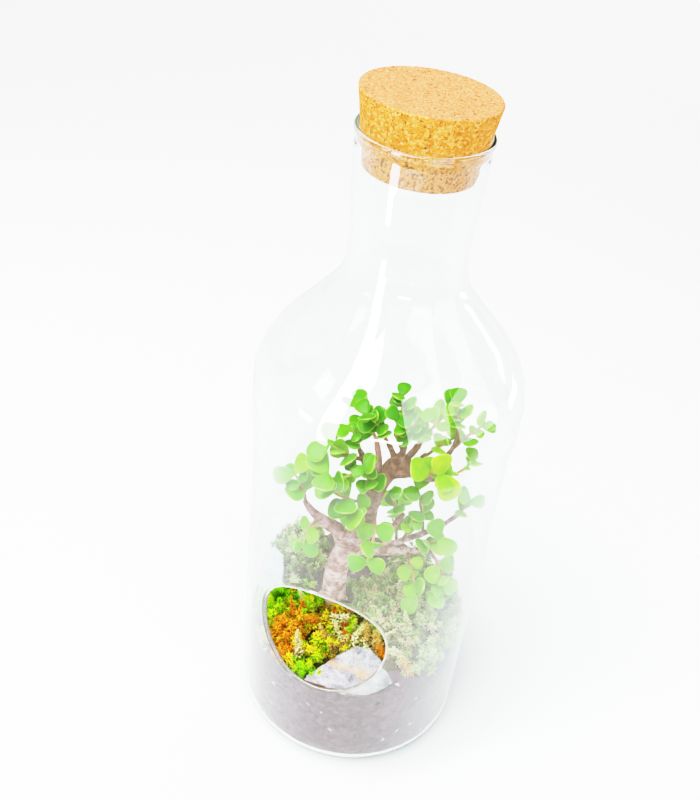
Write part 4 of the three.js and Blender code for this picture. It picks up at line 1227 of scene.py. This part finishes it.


# Leafy sprays: green twigs of the dwarf jade, with fleshy round leaves in crossed pairs. Each leaf turns its
# face up to the light, and is 8 to 13 mm long and 2 mm thick, glossy, with a rim painted paler as a painted
# highlight. A spray has a name, its twig's path, its pairs of leaves, their length, and how yellow they are.
SPRAYS = [
    ("crown_top", [(9, 6, 187), (7, 5, 199), (5, 5, 208)], 3, 8, 0.1),
    ("crown_left", [(4, 1, 180), (0, -4, 193), (-6, -8, 202)], 3, 9.5, 0.1),
    ("crown_front", [(9, 5, 178), (8, -4, 193), (8, -6, 203)], 2, 8.5, 0.1),
    ("stem_top", [(-8, -6, 177), (-9, -9, 187), (-12, -12, 195)], 2, 9, 0.1),
    ("stem_side", [(-6, -5, 172), (-13, -12, 178), (-20, -16, 184)], 2, 11, 0.23),
    ("front_left", [(-1, 0, 146), (-6, -15, 156), (-12, -20, 163), (-17, -22, 173)], 3, 12, 0.24),
    ("left_end", [(-29, -15, 144), (-31, -16, 154), (-35, -18, 163)], 2, 11.5, 0.24),
    ("left_low", [(-23, -12, 134), (-26, -17, 129), (-27, -20, 120)], 2, 9, 0.28),
    ("front_drop", [(0, 0, 140), (6, -11, 143), (8, -17, 137), (8, -22, 127)], 3, 10, 0.28),
    ("front_middle", [(2, 1, 155), (0, -11, 167), (-2, -14, 177)], 2, 10, 0.13),
    ("centre", [(14, 8, 136), (11, 2, 147), (8, -1, 156)], 2, 8.5, 0.18),
    ("front_right", [(21, 8, 165), (27, -3, 178), (32, -6, 181)], 2, 12.5, 0.54),
    ("right_up", [(20, 12, 173), (25, 15, 179), (30, 18, 184)], 2, 9.5, 0.58),
    ("pale", [(12, 6, 168), (17, 11, 184), (15, 11, 196)], 2, 9.5, 0.38),
    ("tall_right", [(32, 16, 184), (31, 15, 197), (29, 15, 206)], 3, 9, 0.38),
    ("tall_side", [(31, 15, 179), (36, 18, 187), (42, 21, 194)], 2, 9.5, 0.43),
    ("middle_right", [(24, 18, 120), (23, 14, 134), (21, 12, 146), (19, 10, 153)], 3, 10.5, 0.28),
    ("far_right", [(39, 20, 137), (41, 19, 143), (44, 19, 149)], 2, 9, 0.33),
    ("low_twig", [(30, 10, 164), (37, 15, 169), (41, 18, 174)], 1, 8, 0.43),
    ("low_right", [(29, 17, 110), (35, 14, 107), (39, 13, 98), (40, 12, 89)], 3, 11.5, 0.48),
    ("low_middle", [(19, 14, 106), (22, 9, 105), (27, 5, 97), (31, 3, 89)], 3, 11.5, 0.48),
    ("front_low", [(0, 0, 141), (-2, -12, 150), (-5, -18, 151)], 1, 13, 0.28),
    ("low_top", [(22, 16, 107), (29, 13, 119), (34, 11, 126)], 2, 12, 0.43),
    ("crown_right", [(10, 6, 181), (13, 4, 193), (15, 2, 203)], 2, 9, 0.1),
    ("stem_low", [(-2, -2, 162), (-7, -15, 171), (-10, -19, 171)], 1, 10, 0.23),
    ("middle_low", [(15, 14, 113), (18, 9, 126), (20, 6, 137)], 2, 9.5, 0.28),
    ("back_left", [(-10, 24, 163), (-18, 31, 167), (-25, 34, 173)], 3, 11, 0.28),
    ("back_right", [(13, 29, 170), (17, 36, 176), (22, 39, 184)], 3, 11, 0.33),
    ("back_low", [(12, 14, 108), (8, 24, 112), (3, 33, 118)], 3, 11, 0.38),
]

# LEAF_ROOM is the room in the glass that the solids' leaves had, so that these leaves stand where theirs
# do. It gets less above SHOULDER_START.
LEAF_HALF_THICKNESS = 1.0
LEAF_ROOT_SINK = 0.8
LEAF_CLEARANCE = 3.1
OWN_CLEARANCE = 1.6
YOUNG_CLEARANCE = 2.5
YOUNG = 4
YOUNG_IN_CROWN = 7
CROWN_HEIGHT = 194
LEAF_ROOM = 56.2
SHOULDER_START = 215
SHOULDER_SLOPE = 0.8
SAMPLE_HALF_WIDTH = 0.48
WOOD_STEP = 2.5
WOOD_ALLOWANCE = 1.2
TWIG_ALLOWANCE = 1.0
SEED = 7
LIGHT = np.array([0.15, -0.55, 0.8])
taken = []


def draw(k):
    """A repeatable draw from 0 to 1 for a whole number, the same one that placed the leaves' solids."""
    wave = math.sin((k + SEED) * 12.9898) * 43758.5453
    return wave - math.floor(wave)


def take(points, radius, owner):
    """Notes places that later leaves stay clear of, by a radius and a little more."""
    for point, r in zip(points, np.broadcast_to(radius, len(points))):
        taken.append((*point, r, owner))


def leaf_points(leaf, t, s, h, width):
    """Places on a leaf: t from root to tip, s from -1 to 1 across, h from under to upper side."""
    start, along, across, face, length = leaf
    round_share = np.sqrt(np.clip(1 - (2 * t - 1) ** 2, 0, 1))
    dish = -0.1 * length * (t - 0.5) ** 2 + 0.03 * length * (s * round_share) ** 2
    place = start + np.outer(t * length, along)
    place += np.outer(s * width * length, across)
    return place + np.outer(dish + h, face)


SAMPLE_T = np.array([0.3] * 4 + [0.5] * 4 + [0.7] * 4 + [0.9] * 4 + [1.0])
SAMPLE_S = np.array([-1, -0.35, 0.35, 1] * 4 + [0])
SAMPLE_WIDTH = SAMPLE_HALF_WIDTH * (0.62 + 0.5 * SAMPLE_T) * np.sqrt(1 - (2 * SAMPLE_T - 1) ** 2)


def sample_points(leaf):
    """The seventeen places of a leaf that have to be clear."""
    return leaf_points(leaf, SAMPLE_T, SAMPLE_S, 0.0, SAMPLE_WIDTH)


def is_clear(leaf, clearance, others, radius, same):
    """True if a leaf lies inside the glass and clear of everything that is taken."""
    places = sample_points(leaf)
    room = LEAF_ROOM - np.maximum(0, places[:, 2] - SHOULDER_START) * SHOULDER_SLOPE
    if np.any(np.hypot(places[:, 0], places[:, 1]) > room):
        return False
    gap = np.linalg.norm(places[:, None] - others[None], axis=2)
    return bool(np.all(gap > np.where(same, OWN_CLEARANCE, clearance) + radius))


def place_leaf(root, tangent, bearing, length, owner, clearance=LEAF_CLEARANCE):
    """The first clear leaf among the swings and lifts about its twig, then the same a little shorter."""
    others = np.array([item[:3] for item in taken])
    radius = np.array([item[3] for item in taken])
    same = np.array([item[4] == owner for item in taken])
    level = np.array([0, 0, 1.0]) if abs(tangent[2]) < 0.9 else np.array([1.0, 0, 0])
    side = unit(np.cross(tangent, level))
    for shrink in (1, 0.82):
        for swing in (0, 0.35, -0.35, 0.7, -0.7, 1.05, -1.05):
            for lift_share in (0.45, 0.9, 0.05):
                a = bearing + swing
                outward = math.cos(a) * side + math.sin(a) * np.cross(tangent, side)
                along = unit(outward + lift_share * tangent)
                face = LIGHT + 0.45 * tangent
                face = unit(face - along * (face @ along))
                across = unit(np.cross(face, along))
                upper = unit(np.cross(along, across))
                leaf = (root - LEAF_ROOT_SINK * along, along, across, upper, length * shrink)
                if is_clear(leaf, clearance, others, radius, same):
                    return leaf
    return None


# The wood and the twigs are taken first. The root stub in the soil is left out.
for points, radii in WOOD:
    if points[0][2] < SOIL_LEVEL:
        points, radii = points[1:], radii[1:]
    line = through(points, np.linspace(0, 1, 201))
    steps = math.ceil(np.linalg.norm(np.diff(line, axis=0), axis=1).sum() / WOOD_STEP)
    t = np.linspace(0, 1, steps + 1)
    take(through(points, t), np.interp(t, np.linspace(0, 1, len(radii)), radii) - WOOD_ALLOWANCE, "wood")
for name, path, *_ in SPRAYS:
    take(through(path, np.linspace(0, 1, 11)), -TWIG_ALLOWANCE, name)

# A waxy leaf has a soft shine and lets a little light into its flesh. Its thin rim is painted paler, a
# painted highlight along the edge.
leaf_look, tree, out = material("dwarf jade leaf, waxy")
tint = add(tree, "Attribute", attribute_name="tint")
rim = add(tree, "Attribute", attribute_name="rim")
spot = add(tree, "TexCoord").outputs["Object"]
mottle = add(tree, "TexNoise", {"Vector": spot, "Scale": 1 / (3.5 * MM), "Detail": 3.0})
varied = add(tree, "Math", {0: mottle.outputs[0], 1: 0.5, 2: tint.outputs["Fac"]}, operation="MULTIPLY_ADD")
green = add(tree, "ValToRGB", {0: varied.outputs[0]}, stops=[
    (0.25, linear("#2f7a00")), (0.5, linear("#4d9702")),
    (0.75, linear("#6db008")), (1.0, linear("#9ccb0c")),
])
# Painted highlight: the thin rim is painted pale.
painted_rim_highlight = add(tree, "MapRange", {
    "Value": rim.outputs["Fac"], "From Min": 0.86, "From Max": 0.99, "To Max": 0.55,
})
edged = add(tree, "Mix", {
    0: painted_rim_highlight.outputs[0], 6: green.outputs[0], 7: linear("#b9d860"),
}, data_type="RGBA")
pores = add(tree, "TexNoise", {"Vector": spot, "Scale": 1 / (0.6 * MM), "Detail": 2.0})
bump = add(tree, "Bump", {"Height": pores.outputs[0], "Strength": 0.15, "Distance": 0.15 * MM})
waxy = add(tree, "BsdfPrincipled", {
    "Base Color": edged.outputs[2], "Roughness": 0.34, "Normal": bump.outputs[0],
    "Specular IOR Level": 0.16, "Subsurface Weight": 0.06,
    "Subsurface Radius": (0.6, 1.0, 0.15), "Subsurface Scale": 1.0 * MM,
})
tree.links.new(waxy.outputs[0], out.inputs["Surface"])

# A young stem is matt, red-brown where it leaves the wood and green at its tip.
twig_look, tree, out = material("young jade stem, green turning to red-brown bark")
ripe = add(tree, "Attribute", attribute_name="tint")
spot = add(tree, "TexCoord").outputs["Object"]
streak = add(tree, "TexNoise", {"Vector": spot, "Scale": 1 / (1.5 * MM), "Detail": 3.0})
blend = add(tree, "Math", {0: streak.outputs[0], 1: 0.4, 2: ripe.outputs["Fac"]}, operation="MULTIPLY_ADD")
stem_colour = add(tree, "ValToRGB", {0: blend.outputs[0]}, stops=[
    (0.2, linear("#5a3530")), (0.55, linear("#8a5a38")),
    (0.8, linear("#a07c34")), (1.1, linear("#86a03c")),
])
bump = add(tree, "Bump", {"Height": streak.outputs[0], "Strength": 0.5, "Distance": 0.2 * MM})
stem_skin = add(tree, "BsdfPrincipled", {
    "Base Color": stem_colour.outputs[0], "Roughness": 0.6, "Normal": bump.outputs[0],
})
tree.links.new(stem_skin.outputs[0], out.inputs["Surface"])

LEAF_ROWS = 15
LEAF_SIDES = 18
LEAF_HALF_WIDTH = 0.43
WIDEST_AT = 0.6786
GROOVE_DEPTH = 0.22
TWIG_ROWS = 34
TWIG_SIDES = 12
TWIG_RADIUS = 0.95
TWIG_TAPER = 0.35
KNOT = 0.28
t_row = (1 - np.cos(np.linspace(0, np.pi, LEAF_ROWS + 2)[1:-1])) / 2
section = 2 * np.pi * np.arange(LEAF_SIDES) / LEAF_SIDES
t_grid = np.repeat(t_row, LEAF_SIDES)
s_grid = np.tile(np.cos(section), LEAF_ROWS)
h_grid = np.tile(np.sin(section), LEAF_ROWS)
widest = WIDEST_AT ** 0.95 * (1 - WIDEST_AT) ** 0.45
half_width = LEAF_HALF_WIDTH * t_grid ** 0.95 * (1 - t_grid) ** 0.45 / widest
plump = LEAF_HALF_THICKNESS * np.clip(4 * t_grid * (1 - t_grid), 0, 1) ** 0.45
this = np.arange(LEAF_SIDES)
after = (this + 1) % LEAF_SIDES
leaf_count = LEAF_ROWS * LEAF_SIDES
leaf_quads = grid_faces(LEAF_ROWS, LEAF_SIDES, True)[:, ::-1]
last_ring = leaf_count - LEAF_SIDES
leaf_fans = np.vstack([
    np.stack([np.full(LEAF_SIDES, leaf_count), this, after], -1),
    np.stack([last_ring + after, last_ring + this, np.full(LEAF_SIDES, leaf_count + 1)], -1),
])


def leaf_mesh(leaf, twist, curl):
    """A fleshy leaf: at each t an oval section, wide as the outline t ** 0.95 * (1 - t) ** 0.45, thickest
    in the middle, with a shallow groove down the upper side. Twist and curl vary it a little."""
    start, along, across, face, length = leaf
    groove = GROOVE_DEPTH * np.exp(-(s_grid / 0.16) ** 2) * (h_grid > 0) * np.sin(np.pi * t_grid)
    lens_shape = np.sign(h_grid) * np.abs(h_grid) ** 1.15 * plump - groove
    bend = curl * length * (t_grid - 0.3) ** 2 + twist * s_grid * half_width * length * t_grid
    body = leaf_points(leaf, t_grid, s_grid, lens_shape + bend, half_width)
    end = np.array([0.0, 1.0])
    tips = leaf_points(leaf, end, np.zeros(2), curl * length * (end - 0.3) ** 2, np.zeros(2))
    rim_share = np.concatenate([np.maximum(np.abs(s_grid), 2 * t_grid - 1), [0.0, 1.0]])
    return np.vstack([body, tips]), rim_share


leaves_of = {}
spots_of = {}
for index, (name, path, pairs, leaf_length, _) in enumerate(SPRAYS):
    leaves = []
    spots = [(1.0 if pairs == 1 else 0.42 + 0.58 * pair / (pairs - 1), pair) for pair in range(pairs)]
    for u, pair in spots:
        root = through(path, u)[0]
        tangent = unit(through(path, u + 1e-4 if u < 1 else 1.0)[0] - through(path, u - 1e-4)[0])
        quarter = (pair % 2) * math.pi / 2 + 0.6 * (draw(index * 31 + pair) - 0.5)
        for half in (0, 1):
            size = leaf_length * (0.88 + 0.24 * draw(index * 57 + pair * 5 + half))
            leaf = place_leaf(root, tangent, quarter + half * math.pi, size, name)
            if leaf:
                leaves.append(leaf)
                take(sample_points(leaf), 0.0, name)
    tangent = unit(through(path, 1.0)[0] - through(path, 1 - 1e-4)[0])
    leaf = place_leaf(through(path, 1.0)[0], tangent, 0.8, leaf_length * 0.8, name)
    if leaf:
        leaves.append(leaf)
        take(sample_points(leaf), 0.0, name)
    leaves_of[name] = leaves
    spots_of[name] = spots

# Younger, smaller leaves fill in between the pairs, most of all in the crown.
for index, (name, path, _, leaf_length, _) in enumerate(SPRAYS):
    for young in range(YOUNG_IN_CROWN if path[-1][2] > CROWN_HEIGHT else YOUNG):
        u = 0.3 + 0.65 * draw(index * 71 + young * 3)
        root = through(path, u)[0]
        tangent = unit(through(path, u + 1e-4)[0] - through(path, u - 1e-4)[0])
        size = leaf_length * (0.55 + 0.25 * draw(index * 37 + young * 11))
        leaf = place_leaf(root, tangent, 2.4 * young + index, size, name, YOUNG_CLEARANCE)
        if leaf:
            leaves_of[name].append(leaf)
            take(sample_points(leaf), 0.0, name)

for index, (name, path, *_, tint_share) in enumerate(SPRAYS):
    rng = np.random.default_rng(500 + index)
    leaves = leaves_of[name]
    spots = spots_of[name]
    t = np.linspace(0, 1, TWIG_ROWS)
    knots = sum(KNOT * np.exp(-((t - u) / 0.03) ** 2) for u, _ in spots)
    radius = (TWIG_RADIUS - TWIG_TAPER * t) * (1 + knots + 0.05 * np.sin(40 * t))
    corners, quads, fans = tube(through(path, t), radius, TWIG_SIDES)
    tints = [np.concatenate([np.repeat(t, TWIG_SIDES), [0.0, 1.0]])]
    rims = [np.zeros(len(corners))]
    corner_parts = [corners]
    quad_parts = [quads]
    fan_parts = [fans]
    total = len(corners)
    for leaf in leaves:
        body, rim_share = leaf_mesh(leaf, 0.12 * rng.normal(), 0.1 * rng.random())
        corner_parts.append(body)
        quad_parts.append(leaf_quads + total)
        fan_parts.append(leaf_fans + total)
        tints.append(np.full(len(body), tint_share + 0.09 * rng.normal()))
        rims.append(rim_share)
        total += len(body)
    spray = mesh_object(
        "leafy_spray_" + name,
        np.vstack(corner_parts),
        [np.vstack(quad_parts), np.vstack(fan_parts)],
        [leaf_look, twig_look],
    )
    set_attribute(spray, "tint", np.concatenate(tints))
    set_attribute(spray, "rim", np.concatenate(rims))
    first_corner = np.zeros(len(spray.data.loops), np.int32)
    spray.data.loops.foreach_get("vertex_index", first_corner)
    starts = np.zeros(len(spray.data.polygons), np.int32)
    spray.data.polygons.foreach_get("loop_start", starts)
    on_twig = first_corner[starts] < len(corners)
    spray.data.polygons.foreach_set("material_index", on_twig.astype(np.int32))
    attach(spray, "root")
    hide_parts("spray_" + name)
